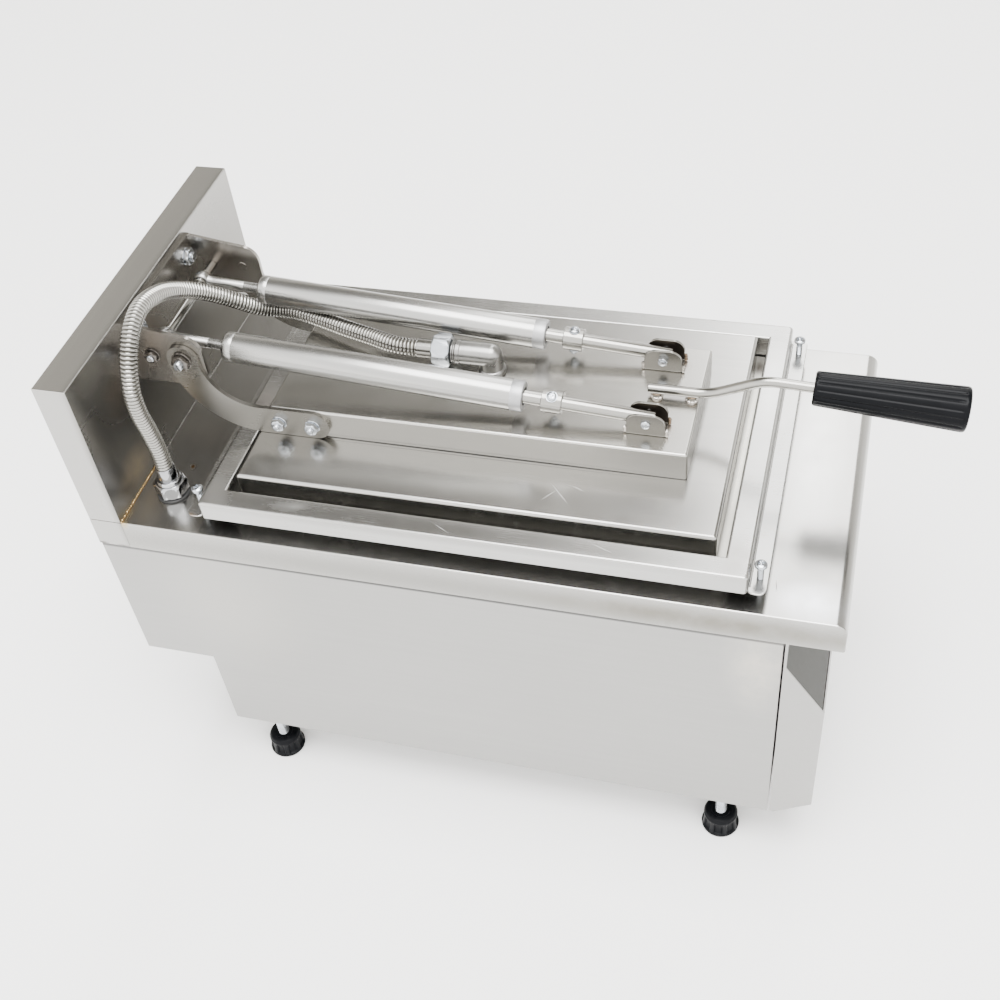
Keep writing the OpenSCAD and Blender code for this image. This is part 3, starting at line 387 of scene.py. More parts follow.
foot_black = plastic("foot_black", (0.0015, 0.0018, 0.0025), 0.36, gloss=0.07)
knob_black = plastic("knob_black", (0.005, 0.005, 0.006), 0.33, gloss=0.25)
print_white = plastic("print_white", (0.75, 0.75, 0.72), 0.5)
lamp_amber = plastic("lamp_amber", (0.75, 0.22, 0.03), 0.12)
rocker_red = plastic("rocker_red", (0.42, 0.02, 0.015), 0.2)

MATERIAL_OF = {
    "base_panel": steel_rear, "rear_panel": steel_rear, "lower_plate": plate_ground,
    "upper_plate": plate_iron, "lower_heater": sheath, "upper_heater": sheath,
    "lower_insulation": board, "upper_insulation": board, "lower_pan": steel_rear,
    "lid_nuts": zinc, "terminal_block": board, "thermostats": knob_black,
    "switch_housing": knob_black, "switch_rocker": rocker_red, "left_spring": spring_dark,
    "right_spring": spring_dark,
}
for name, cad_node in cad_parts.items():
    cad_node.data.materials.clear()
    cad_node.data.materials.append(MATERIAL_OF.get(name, steel_rod))


# ---- Mesh tools ----


def place(origin, z=(0, 0, 1), x=(1, 0, 0)):
    """A local frame in millimetres at a point given from the counter-top's rear edge."""
    z = Vector(z).normalized()
    x = Vector(x)
    x = (x - z * x.dot(z)).normalized()
    turn = Matrix((x, z.cross(x), z)).transposed()
    return Matrix.Translation(at(*origin)) @ (turn * MM).to_4x4()


class Piece:
    """Shapes gathered into one mesh in the row frame."""

    def __init__(self):
        self.bm = bmesh.new()
        self.materials = []

    def paint(self, faces, material):
        if material not in self.materials:
            self.materials.append(material)
        for f in faces:
            f.material_index = self.materials.index(material)

    def loft(self, loops, material, close_start=True, close_end=True, wrap=False):
        """Joins loops of the same number of points with quads."""
        rows = [[self.bm.verts.new(p) for p in loop] for loop in loops]
        faces = []
        pairs = list(zip(rows, rows[1:])) + ([(rows[-1], rows[0])] if wrap else [])
        for low, high in pairs:
            for i, v in enumerate(low):
                j = (i + 1) % len(low)
                faces.append(self.bm.faces.new((v, low[j], high[j], high[i])))
        if close_start and not wrap:
            faces.append(self.bm.faces.new(rows[0][::-1]))
        if close_end and not wrap:
            faces.append(self.bm.faces.new(rows[-1]))
        self.paint(faces, material)
        return rows

    def polar(self, m, rings, material, sides=48):
        """A solid of rings (height, radius), each a number or a function of the angle."""
        turns = [2 * math.pi * i / sides for i in range(sides)]
        loops = []
        for z, r in rings:
            loops.append([m @ Vector((value(r, a) * math.cos(a), value(r, a) * math.sin(a),
                                      value(z, a))) for a in turns])
        return self.loft(loops, material)

    def sweep(self, points, radius, material, sides=24):
        """A tube along points in the row frame; the radius is in metres at each point."""
        loops = []
        side = None
        for i, p in enumerate(points):
            ahead = (points[min(i + 1, len(points) - 1)] - points[max(i - 1, 0)]).normalized()
            if side is None:
                side = ahead.orthogonal()
            side = (side - ahead * side.dot(ahead)).normalized()
            up = ahead.cross(side)
            loops.append([p + radius[i] * (math.cos(a) * side + math.sin(a) * up)
                          for a in (2 * math.pi * k / sides for k in range(sides))])
        return self.loft(loops, material)

    def block(self, m, low, high, material, soft=0.3):
        """A box between two corners with softened edges."""
        made = bmesh.ops.create_cube(self.bm, size=1)
        middle = (Vector(low) + Vector(high)) / 2
        for v in made["verts"]:
            v.co = m @ (middle + Vector(v.co[i] * (high[i] - low[i]) for i in range(3)))
        faces = list({f for v in made["verts"] for f in v.link_faces})
        self.paint(faces, material)
        if soft:
            edges = list({e for v in made["verts"] for e in v.link_edges})
            out = bmesh.ops.bevel(self.bm, geom=edges, offset=soft * MM, segments=2,
                                  profile=0.5, affect="EDGES")
            self.paint(out["faces"], material)

    def flat_normals(self, smooth):
        """Corner normals weighted by area, so a flat sheet stays flat up to its folds."""
        limit = math.cos(math.radians(smooth))
        weights = {f: f.normal * f.calc_area() ** 2 for f in self.bm.faces}
        normals = []
        for f in self.bm.faces:
            for v in f.verts:
                total = Vector()
                for g in v.link_faces:
                    if g.normal.dot(f.normal) > limit:
                        total += weights[g]
                normals.append(total.normalized() if total.length else f.normal)
        return normals

    def done(self, name, body, replaced=(), smooth=32, flat=False):
        mesh = bpy.data.meshes.new(name)
        bmesh.ops.recalc_face_normals(self.bm, faces=self.bm.faces)
        self.bm.normal_update()
        normals = self.flat_normals(smooth) if flat else None
        self.bm.to_mesh(mesh)
        self.bm.free()
        for material in self.materials:
            mesh.materials.append(material)
        mesh.polygons.foreach_set("use_smooth", [True] * len(mesh.polygons))
        mesh.set_sharp_from_angle(angle=math.radians(smooth))
        if flat:
            mesh.normals_split_custom_set(normals)
        obj = bpy.data.objects.new(name, mesh)
        bpy.context.scene.collection.objects.link(obj)
        if body:
            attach(obj, body)
        if replaced:
            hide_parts(*replaced)
        return obj


def value(v, a):
    return v(a) if callable(v) else v


def hexagon(across, cone=None):
    """The radius of a hexagon at an angle, limited by the cone of its chamfer."""
    def radius(a):
        near = (a + math.pi / 6) % (math.pi / 3) - math.pi / 6
        r = across / 2 / math.cos(near)
        return min(r, cone) if cone else r
    return radius


def hex_nut(piece, m, low, high, across, material, both=True):
    """A chamfered hexagon head or nut along the local z."""
    c = (high - low) * 0.14
    flat = across * 0.475
    corner = across / 2 / math.cos(math.pi / 6)
    rise = [(0.0, flat), (0.35, flat + (corner - flat) * 0.35), (1.0, corner)]
    rings = [(low + c * t, hexagon(across, r)) for t, r in rise] if both else \
        [(low, hexagon(across))]
    rings += [(high - c * t, hexagon(across, r)) for t, r in reversed(rise)]
    piece.polar(m, rings, material, 48)


def washer(piece, m, low, high, r, material):
    piece.polar(m, [(low, r), (high - 0.25, r), (high, r - 0.25)], material, 40)


def threads(piece, m, low, high, r, pitch, material):
    rings = []
    for i in range(int((high - low) / pitch * 4) + 1):
        z = low + i * pitch / 4
        rings.append((z, r if i % 4 in (0, 1) else r - pitch * 0.32))
    piece.polar(m, rings, material, 32)


def cross_head(piece, m, base, rise, r, material, slot_w=0.9, slot_r=2.7, deep=1.3):
    """A pan head with a cross recess, its top made of rings that dip in the cross."""
    def top(radius):
        dome = base + rise * (0.45 + 0.55 * math.sqrt(max(0.0, 1 - (radius / r) ** 2)))

        def height(a):
            px, py = abs(radius * math.cos(a)), abs(radius * math.sin(a))
            inside = radius < slot_r and min(px, py) < slot_w / 2 + 0.12 * (slot_r - radius)
            return dome - deep * (1 - radius / slot_r * 0.5) if inside else dome
        return height
    rings = [(base, r - 0.15), (base + 0.15, r), (base + rise * 0.4, r)]
    rings += [(top(r * t), r * t) for t in (0.99, 0.94, 0.86, 0.76, 0.66, 0.6, 0.54, 0.46, 0.36,
                                            0.26, 0.16, 0.06)]
    piece.polar(m, rings, material, 64)


def rounded_ring(x, y_rear, y_front, z, r, steps=5):
    """The outline of a rounded rectangle at one height, in the row frame."""
    r = max(r, 0.05)
    points = []
    for cx, cy, start in ((x - r, -y_rear - r, 0), (-x + r, -y_rear - r, 90),
                          (-x + r, -y_front + r, 180), (x - r, -y_front + r, 270)):
        for i in range(steps + 1):
            a = math.radians(start + 90 * i / steps)
            points.append(at(cx + r * math.cos(a), cy + r * math.sin(a), z))
    return points


def arc(cx, cy, r, start, end, steps):
    """Points (out, up) along an arc."""
    return [(cx + r * math.cos(math.radians(start + (end - start) * i / steps)),
             cy + r * math.sin(math.radians(start + (end - start) * i / steps)))
            for i in range(steps + 1)]


def pressed_box(name, node, material, x, y_rear, y_front, foot, top, corner, fold):
    """An open-bottomed box of sheet with a rounded fold around its top."""
    sheet = 1.5
    outer = [(0, foot)] + arc(-fold, top - fold, fold, 0, 90, 5)
    inner = arc(-fold, top - fold, max(fold - sheet, 0.3), 90, 0, 3)
    inner = [(min(out, -sheet), min(up, top - sheet)) for out, up in inner] + [(-sheet, foot)]
    p = Piece()
    for run, flip in ((outer, False), (inner, True)):
        loops = [rounded_ring(x + out, y_rear - out, y_front + out, up, corner + out * 0.5)
                 for out, up in run]
        p.loft(loops, material, close_start=flip, close_end=not flip)
    rims = [rounded_ring(x + out, y_rear - out, y_front + out, foot, corner + out * 0.5)
            for out in (0, -sheet)]
    p.loft(rims, material, False, False)
    return p.done(name, "lid", [node], flat=True)


def face_width(face):
    return 2 * face.calc_area() / max(face.calc_perimeter(), 1e-9)


def folded(node, body, material, fold=0.7, edge=0.25, thin=2.2, inside=None):
    """A copy of a sheet-metal CAD node with rolled folds and broken edges."""
    bm = bmesh.new()
    bm.from_mesh(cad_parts[node].data)
    bmesh.ops.remove_doubles(bm, verts=bm.verts, dist=1e-6)
    bmesh.ops.dissolve_limit(bm, angle_limit=math.radians(1), verts=bm.verts, edges=bm.edges)
    sharp = [e for e in bm.edges if len(e.link_faces) == 2
             and e.calc_face_angle(0) > math.radians(35)]
    folds = [e for e in sharp if e.is_convex
             and min(face_width(f) for f in e.link_faces) > thin * MM]
    rest = [e for e in sharp if e not in set(folds)]
    for edges, width, steps in ((folds, fold, 3), (rest, edge, 1)):
        alive = [e for e in edges if e.is_valid]
        if alive:
            bmesh.ops.bevel(bm, geom=alive, offset=width * MM, segments=steps, profile=0.5,
                            affect="EDGES", clamp_overlap=True, offset_type="OFFSET")
    p = Piece()
    p.bm.free()
    p.bm = bm
    p.paint(bm.faces, material)
    # inside paints the faces turned towards a centre line with a dark material, as painted shade
    if inside:
        centre, dark = inside
        p.paint([f for f in bm.faces if abs(f.normal.x) > 0.9
                 and (centre - f.calc_center_median().x) * f.normal.x > 0], dark)
    return p.done(node + "_sheet", body, [node], 25, True)


# ---- Sheet metal ----

for sheet_node, sheet_material in (
        ("left_side_panel", steel_side), ("right_side_panel", steel_side),
        ("front_panel", steel_front), ("rear_panel", steel_rear), ("base_panel", steel_rear),
        ("control_panel", control_painted_shade), ("hinge_bracket", steel_bracket)):
    folded(sheet_node, "cabinet", sheet_material)
for side, sx in SIDES.items():
    folded(f"{side}_strap", "lid", steel_strap, 0.35)
    # the clevis plates' inner faces get painted shade
    folded(f"{side}_clevis", "lid", steel_clevis, 1.4, 0.25, 3.0,
           (at(sx * 37.2, 0, 0).x, clevis_inside_shade))

pressed_box("lid_tray_sheet", "lid_tray", steel_tray, 115.5, 123.5, 501, 14, 37.7, 2.4, 3.0)
pressed_box("lid_box_sheet", "lid_box", steel_box, 61.5, 136.5, 470.5, 37.75, 63.3, 2.2, 1.9)


def countertop():
    """The counter-top: side aprons, a rolled front edge and an opening for the plate."""
    half, depth, rear, apron, nose, fold, sheet = 150, 600, 28.3, 28, 9, 1.8, 1.5
    p = Piece()

    def section(x, inset):
        front = [(depth - nose + (nose - inset) * math.sin(math.radians(a)),
                  -nose + (nose - inset) * math.cos(math.radians(a)))
                 for a in range(0, 91, 10)]
        run = [(rear, -apron), (rear, -inset)] + front + [(depth - inset, -apron)]
        return [at(x, -y, z) for y, z in run]

    columns = sorted((-half + fold - fold * math.sin(math.radians(a)),
                      fold - fold * math.cos(math.radians(a))) for a in range(0, 91, 18))
    columns += [(-x, inset) for x, inset in reversed(columns)]
    rows = [[p.bm.verts.new(v) for v in section(x, inset)] for x, inset in columns]
    middle = len(rows) // 2 - 1
    faces = []
    for i, (left, right) in enumerate(zip(rows, rows[1:])):
        for k in range(len(left) - 1):
            if k == 0 or (i == middle and k == 1):
                continue
            faces.append(p.bm.faces.new((left[k], left[k + 1], right[k + 1], right[k])))
    for row in (rows[0], rows[-1]):
        faces.append(p.bm.faces.new(row))
    hole = [p.bm.verts.new(at(x, -y, 0)) for x, y in
            ((-129, 113), (-129, 514), (129, 514), (129, 113))]
    around = [rows[middle][1], rows[middle][2], rows[middle + 1][2], rows[middle + 1][1]]
    for i in range(4):
        j = (i + 1) % 4
        faces.append(p.bm.faces.new((around[i], around[j], hole[j], hole[i])))
    bmesh.ops.recalc_face_normals(p.bm, faces=p.bm.faces)
    if faces[-1].normal.z < 0:
        bmesh.ops.reverse_faces(p.bm, faces=p.bm.faces)
    bmesh.ops.solidify(p.bm, geom=p.bm.faces[:], thickness=sheet * MM)
    p.paint(p.bm.faces, steel_counter)
    p.done("countertop_sheet", "cabinet", ["countertop"], 25, True)


countertop()


def splashback():
    """The hollow splashback, with its skirt below the counter-top as a separate strip."""
    p = Piece()
    m = place((0, 0, 0))
    p.block(m, (-150, -28, 0.15), (150, 0, 140), steel_splash, 0.8)
    p.block(m, (-150, -28, -28), (150, 0, -0.15), steel_splash, 0.4)
    p.done("splashback_sheet", "cabinet", ["splashback"], 50, True)


splashback()


def plate_frame():
    """A welded ring of folded rails, with a flange for the jack screws at each end."""
    hole_x, rear, front, rail, top, foot, sheet = 124, 118, 509, 18.5, 29, 12.5, 1.5
    p = Piece()
    fold_in, fold_out = 1.6, 2.4
    run = [(0, -4.5)] + arc(fold_in, top - fold_in, fold_in, 180, 90, 5)
    run += [(fold_in + 0.5, top), (rail - fold_out - 0.5, top)]
    run += arc(rail - fold_out, top - fold_out, fold_out, 90, 0, 7) + [(rail, foot)]
    run += [(rail - sheet, foot), (rail - sheet, top - sheet - 1), (sheet, top - sheet - 1),
            (sheet, -4.5)]
    loops = [rounded_ring(hole_x + out, rear - out, front + out, up, 0.4 + max(out, 0) * 0.17, 6)
             for out, up in run]
    p.loft(loops, steel_frame, wrap=True)
    ledge = [rounded_ring(hole_x + out, rear - out, front + out, up, 0.4)
             for out, up in ((0, -4.5), (-10, -4.5), (-10, -3), (0, -3))]
    p.loft(ledge, steel_frame, wrap=True)
    for base, way in ((rear - rail, -1), (front + rail, 1)):
        side = []
        low, high = sorted((base - way * sheet, base + way * 13))
        for inset, z in ((0.5, foot), (0, foot + 0.5), (0, foot + sheet - 0.6),
                         (0.18, foot + sheet - 0.18), (0.6, foot + sheet)):
            ring = rounded_ring(142.5 - inset, low + inset, high - inset, z, 6 - inset, 8)
            side.append(ring)
        p.loft(side, steel_frame)
        seam = [at(x, -(base + way * 0.4), foot + sheet + 0.1) for x in range(-136, 137, 4)]
        p.sweep(seam, [1.1 * MM] * len(seam), steel_frame, 10)
    p.done("plate_frame_sheet", "cabinet", ["plate_frame"], 28, True)


plate_frame()


def bead(points, r, seed, step=2.2):
    """A lumpy weld bead along points in millimetres."""
    line = [at(*q) for q in points]
    out, radii = [], []
    for a, b in zip(line, line[1:]):
        count = max(2, int((b - a).length / MM / (step / 6)))
        for i in range(count):
            q = a.lerp(b, i / count)
            lump = 0.72 + 0.28 * abs(math.sin(len(out) * math.pi / 6))
            wander = noise.noise(q * 900 + Vector((seed, 0, 0)))
            out.append(q + Vector((wander, wander * 0.5, wander)) * 0.25 * MM)
            radii.append(r * MM * (lump + 0.22 * wander))
    return out, radii


def welds():
    """Beads at the counter's rear seam, the clevises and the handle's studs."""
    p = Piece()
    p.sweep(*bead([(-149.3, -28.4, 0.5), (-76, -28.4, 0.5)], 0.9, 1), weld_gold, 10)
    p.sweep(*bead([(-76, -28.4, 0.3), (149.3, -28.4, 0.3)], 0.7, 2), steel_splash, 10)
    p.done("cabinet_welds", "cabinet", (), 60)
    p = Piece()
    for sx in (-1, 1):
        for dx in (-7.0, 7.0):
            for y, way in ((-421.7, 1), (-451.3, -1)):
                x = sx * 37.2 + dx
                line = [(x, y + way * 0.9, 64.0), (x, y + way * 1.0, 68.5),
                        (x, y + way * 0.5, 70.5)]
                tint = weld_brown if dx > 0 else weld_bright
                p.sweep(*bead(line, 1.5, x + y, 3.0), tint, 10)
    for y in (-437, -464):
        ring = [(4.0 * math.cos(a), y + 4.0 * math.sin(a), 63.7)
                for a in (2 * math.pi * i / 10 for i in range(11))]
        p.sweep(*bead(ring, 1.3, y, 2.6), weld_bright, 10)
        ring = [(3.2 * math.cos(a), y + 3.2 * math.sin(a), 67.2)
                for a in (2 * math.pi * i / 10 for i in range(11))]
        p.sweep(*bead(ring, 1.0, y + 5, 2.6), weld_brown, 10)
    p.done("lid_welds", "lid", (), 60)


welds()


# ---- Feet and jack screws ----


def foot(name, sx, y):
    """A moulded levelling foot: a flared skirt with recessed panels between ribs."""
    p = Piece()
    m = place((sx * 132, -y, -320))
    panels = 8

    def ribbed(r, deep):
        def radius(a):
            wave = math.cos(panels * a)
            return r - deep * min(1.0, max(0.0, (wave + 0.55) / 0.45))
        return radius
    p.polar(m, [(0, 15.3), (0.4, 15.9), (1.2, 16.4), (2.4, 16.5), (3.2, 16.2),
                (3.6, ribbed(16.0, 0.4)), (4.2, ribbed(15.9, 1.5)), (8, ribbed(15.3, 1.9)),
                (12, ribbed(15.0, 1.9)), (15.4, ribbed(14.8, 1.7)), (16.2, ribbed(14.8, 0.5)),
                (16.6, 14.8), (18.4, 14.7), (19.0, 14.1), (20.4, 13.8), (21.4, 13.2),
                (22, 12.2), (22, 8.4), (21.5, 8.0), (21.3, 5.2)],
            foot_black, 96)
    stud = Piece()
    threads(stud, m, 19, 79.5, 5, 1.5, zinc)
    stud.done(name + "_stud", "levelling_" + name, (), 40)
    p.done(name + "_pad", "levelling_" + name, [name], 35)


def jack(name, sx, y):
    p = Piece()
    m = place((sx * 126, -y, 0), x=(1, 0.4, 0))
    threads(p, m, 0.05, 26.4, 2.5, 1.0, zinc)
    cross_head(p, m, 26.5, 3.4, 4.6, zinc)
    p.done(name + "_screw", name.replace("jack_screw", "jack"), [name], 35)


for sy, foot_y, jack_y in (("front", 516, 534.5), ("rear", 97, 93)):
    for side, sx in SIDES.items():
        foot(f"foot_{sy}_{side}", sx, foot_y)
        jack(f"jack_screw_{sy}_{side}", sx, jack_y)


# ---- Hinge ----


def hinge_bolts():
    p = Piece()
    for sx in (-1, 1):
        m = place((sx * 47.5, -31, 120), (0, -1, 0), (1, 0, 0.3))
        washer(p, m, 0, 1.3, 7.6, zinc)
        hex_nut(p, m, 1.3, 5.3, 13, zinc)
        p.polar(m, [(5, 4), (7.4, 4), (8, 3.4)], zinc, 32)
        out = Vector((sx, 0, 0))
        m = place((sx * 61.2, -47, 105), out, (0, 1, 0.2))
        washer(p, m, 0, 1.0, 6.3, dark_steel)
        hex_nut(p, m, 1.0, 4.0, 10, dark_steel)
        p.polar(m, [(3.5, 3), (5.4, 3), (6.2, 2.2)], zinc, 32)
        m = place((sx * 65.3, -74.5, 106), out, (0, 1, 0.35))
        washer(p, m, 0, 1.6, 8.2, dark_steel)
        hex_nut(p, m, 1.6, 5.4, 13, dark_steel)
        p.polar(m, [(4.5, 4.3), (8.0, 4.2), (9.0, 3.6), (9.4, 2.4)], zinc, 32)
        inner = place((sx * 58.1, -74.5, 106), out, (0, 1, 0))
        p.polar(inner, [(0, 3.7), (0.3, 4), (7, 4)], steel_bracket, 40)
        inner = place((sx * 51.6, -47, 105), out, (0, 1, 0))
        p.polar(inner, [(0, 3.6), (6.5, 3.6)], zinc, 24)
    p.done("hinge_bolts_set", "cabinet", ["hinge_bolts"], 35)


def spring_shaft():
    p = Piece()
    m = place((-58.2, -47, 105), (1, 0, 0), (0, 1, 0))
    p.polar(m, [(0, 3.5), (0.6, 4), (115.8, 4), (116.4, 3.5)], steel_rod, 48)
    for x in (14.2, 25.6, 89.2, 100.6):
        p.polar(m, [(x - 1.2, 5.3), (x - 0.9, 5.6), (x + 0.9, 5.6), (x + 1.2, 5.3)], steel_rod, 40)
    p.done("spring_shaft_rod", "cabinet", ["spring_shaft"], 35)


hinge_bolts()
spring_shaft()


# ---- Spring tubes and rods ----

STRUT_X = 37.2
SHAFT_Y, SHAFT_Z = -47, 105
PIN_Y, PIN_Z = -436.5, 74.5
TILT = math.atan2(SHAFT_Z - PIN_Z, SHAFT_Y - PIN_Y)
SPAN = math.hypot(SHAFT_Z - PIN_Z, SHAFT_Y - PIN_Y)
ALONG = Vector((0, -math.cos(TILT), -math.sin(TILT)))
ABOVE = Vector((0, -math.sin(TILT), math.cos(TILT)))


def tube_frame(sx, dist=0.0):
    start = Vector((sx * STRUT_X, SHAFT_Y, SHAFT_Z)) + ALONG * dist
    return place(start, ALONG, (1, 0, 0))


def spring_tube(side, sx):
    """A brushed tube with turned ends, and the rod end that screws into it."""
    p = Piece()
    m = tube_frame(sx)
    rows = p.polar(m, [(52, 5), (52, 9.6), (52.5, 10.8), (53.4, 11.6), (54.6, 12), (60, 12),
                       (60.3, 11.9), (60.6, 12), (286, 12), (286.3, 11.93), (286.6, 12),
                       (294.6, 12), (295.5, 11.7), (296, 11), (296, 7.3), (290, 7.2)],
                   steel_tube, 96)
    matt = {v for r in rows[-7:] for v in r}
    p.paint([f for f in p.bm.faces if all(v in matt for v in f.verts)], tube_matt)
    p.done(f"{side}_spring_tube_body", f"{side}_tube", [f"{side}_spring_tube"],
           30)
    p = Piece()
    eye = place(Vector((sx * STRUT_X, SHAFT_Y, SHAFT_Z)), (1, 0, 0), (0, 1, 0))
    profile = [(-4.5, 4.2), (-4.5, 5.2)]
    profile += [(4.5 * math.sin(math.radians(a)), 5.2 + 2.4 * math.cos(math.radians(a)))
                for a in range(-75, 76, 15)]
    profile += [(4.5, 5.2), (4.5, 4.2)]
    p.polar(eye, profile, cast_grey, 64)
    p.polar(m, [(5.6, 5.0), (8, 4.4), (11, 4.3), (37, 4.3), (38, 3.8)], cast_grey, 48)
    threads(p, m, 37.5, 58, 4, 1.5, cast_grey)
    p.done(f"{side}_rod_end_eye", f"{side}_tube", [f"{side}_rod_end"], 40)


def push_rod(side, sx):
    p = Piece()
    m = tube_frame(sx)
    end = SPAN + 6
    p.polar(m, [(160, 8), (160.6, 8.6), (167.4, 8.6), (168, 8), (168, 5.5), (end - 0.7, 5.5),
                (end - 0.2, 5.3), (end, 4.8)], steel_rod, 72)
    p.done(f"{side}_rod_bar", f"{side}_push_rod", [f"{side}_rod"], 30)
    p = Piece()
    p.polar(m, [(310, 5.6), (310, 8.5), (310.5, 9), (325.5, 9), (326, 8.5), (326, 5.6)],
            steel_rod, 72)
    roll = math.radians(25 if sx < 0 else 0)
    up = ABOVE * math.cos(roll) + Vector((1, 0, 0)) * (-math.sin(roll))
    centre = Vector((sx * STRUT_X, SHAFT_Y, SHAFT_Z)) + ALONG * 318
    bolt = place(centre, up, ALONG)
    washer(p, bolt, 8.2, 9.1, 4.6, zinc)
    cross_head(p, bolt, 9.0, 2.2, 3.9, zinc, 0.8, 2.3, 1.0)
    under = place(centre, -up, ALONG)
    washer(p, under, 8.0, 9.0, 4.6, zinc)
    hex_nut(p, under, 9.0, 11.8, 7, zinc)
    p.polar(under, [(11, 2), (13.6, 2), (14, 1.6)], zinc, 24)
    p.done(f"{side}_collar_ring", f"{side}_push_rod", [f"{side}_collar"], 35)


for side, sx in SIDES.items():
    spring_tube(side, sx)
    push_rod(side, sx)


# ---- Lid fasteners and handle ----


def lid_fasteners():
    p = Piece()
    for sx in (-1, 1):
        out = Vector((sx, 0, 0))
        for k, y in enumerate((144.5, 173)):
            m = place((sx * 65, -y, 51), out, (0, 1, 0.25 + 0.3 * k))
            washer(p, m, 0, 1.0, 6.2, zinc)
            hex_nut(p, m, 1.0, 5.6, 10, zinc)
            threads(p, m, 5.2, 7.4, 3, 1.0, zinc)
            p.polar(m, [(7.2, 2.9), (8.0, 2.6), (8.5, 1.6)], zinc, 24)
            inner = place((sx * 60, -y, 51), -out, (0, 1, 0))
            p.polar(inner, [(0, 5.5), (1.5, 5.2), (2.6, 3.4)], zinc, 24)
    p.done("strap_bolts_set", "lid", ["strap_bolts"], 35)
    p = Piece()
    for sx in (-1, 1):
        out = Vector((sx, 0, 0))
        m = place((sx * 45.2, PIN_Y, PIN_Z), out, (0, 1, 0.6))
        cross_head(p, m, 0, 2.6, 3.6, zinc, 0.8, 2.3, 1.1)
        m = place((sx * 29.2, PIN_Y, PIN_Z), -out, (0, 1, 0.3))
        hex_nut(p, m, 0, 3.6, 7, zinc)
        p.polar(m, [(3.4, 2.5), (4.2, 2.4), (4.6, 1.6)], zinc, 24)
        p.polar(m, [(-18, 2.5), (0.5, 2.5)], zinc, 24)
    p.done("clevis_pins_set", "lid", ["clevis_pins"], 35)


def handle():
    """The bent rod on its two studs, and the fluted grip."""
    corners = [(430.3, 70.6), (477.5, 70.6), (518, 89.6), (655.8, 82.4)]
    line = []
    for i, (y, z) in enumerate(corners):
        here = Vector((0, -y, z))
        if i in (0, len(corners) - 1):
            line.append(here)
            continue
        back = (Vector((0, -corners[i - 1][0], corners[i - 1][1])) - here).normalized()
        ahead = (Vector((0, -corners[i + 1][0], corners[i + 1][1])) - here).normalized()
        for t in (k / 8 for k in range(9)):
            a, b = here + back * 11 * (1 - t), here + ahead * 11 * t
            line.append(a.lerp(b, t) if 0 < t < 1 else (a if t == 0 else b))
    line = [line[0], line[0] + Vector((0, -0.5, 0))] + line[1:]
    p = Piece()
    p.sweep([at(*q) for q in line], [3.4 * MM] + [4 * MM] * (len(line) - 1), steel_rod, 40)
    for y in (-437, -464):
        p.polar(place((0, y, 63.3)), [(0, 3.5), (6, 3.5)], steel_rod, 32)
    p.done("handle_rod_bar", "lid", ["handle_rod"], 40)

    p = Piece()
    tip = math.radians(3)
    m = place((0, -554, 87.7), (0, -math.cos(tip), -math.sin(tip)))
    flutes = 15

    def fluted(r, deep):
        def radius(a):
            return r - deep * (0.5 + 0.5 * math.cos(flutes * a)) ** 5
        return radius
    rings = [(0, 4.1), (0, 11.4), (0.4, 12.3), (1.2, 12.9), (2.0, fluted(13.05, 0.15))]
    for z in (4, 20, 40, 60, 80, 100, 104):
        rings.append((z, fluted(13 + 4 * z / 108.5, 0.75)))
    rings += [(106, fluted(16.85, 0.3)), (107, 16.9), (108.4, 16.7), (109.4, 16.1), (110, 15.0),
              (109.7, 13.6), (109.4, 13.0), (109.4, 6)]
    p.polar(m, rings, bakelite, 216)
    p.done("handle_grip_body", "lid", ["handle_grip"], 30)


lid_fasteners()
handle()


# ---- Conduit ----

CONDUIT_ROUTE = [
    (-109, -57, 30), (-109, -57, 48), (-111.5, -57, 70), (-115, -57, 93), (-115.5, -58, 114),
    (-109, -58.5, 133), (-97, -58, 147.5), (-82, -56.5, 155.5), (-65, -55, 157), (-47, -54, 152),
    (-28, -54, 143), (-10, -57.5, 131), (4, -64, 119.5), (15, -73, 108), (24, -83.5, 96.5),
    (31.5, -91, 87), (37.5, -99, 80.8), (41.5, -108, 77.6), (43, -120, 76.4), (39, -138, 76),
    (33, -156, 76.5), (26, -175, 77), (18, -200, 77.8), (11, -218, 79.2), (8.5, -231, 79.7),
    (8.5, -243, 79.7),
]


def smooth_route(points, step):
    """Evenly spaced points on a Catmull-Rom curve through the route."""
    knots = [at(*q) for q in points]
    knots = [knots[0] * 2 - knots[1]] + knots + [knots[-1] * 2 - knots[-2]]
    dense = []
    for i in range(1, len(knots) - 2):
        a, b, c, d = knots[i - 1:i + 3]
        for t in (k / 40 for k in range(40)):
            dense.append(0.5 * (2 * b + (c - a) * t + (2 * a - 5 * b + 4 * c - d) * t * t
                                + (3 * b - a - 3 * c + d) * t ** 3))
    dense.append(knots[-2])
    out, left = [dense[0]], step
    for a, b in zip(dense, dense[1:]):
        length = (b - a).length
        while length >= left:
            a = a.lerp(b, left / length)
            out.append(a)
            length, left = length - left, step
        left -= length
    return out


def conduit():
    """A corrugated steel hose, still at its gland and bending near the pivot to the lid."""
    per_turn = 8
    pitch = 3.0
    line = smooth_route(CONDUIT_ROUTE, pitch / per_turn * MM)
    shape = (5.95, 6.2, 6.75, 7.0, 7.05, 7.0, 6.75, 6.2)
    radii = [shape[i % per_turn] * MM for i in range(len(line))]
    p = Piece()
    rows = p.sweep(line, radii, hose_steel, 36)
    # the valleys of the corrugation get painted shade
    for i in range(0, len(rows) - 1):
        if i % per_turn in (0, per_turn - 1):
            low = set(rows[i]) | set(rows[i + 1])
            ring = {f for v in rows[i] for f in v.link_faces if low.issuperset(f.verts)}
            p.paint(ring, hose_groove_shade)
    hose = p.done("conduit_hose", None, ["conduit"], 60)
    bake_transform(hose)


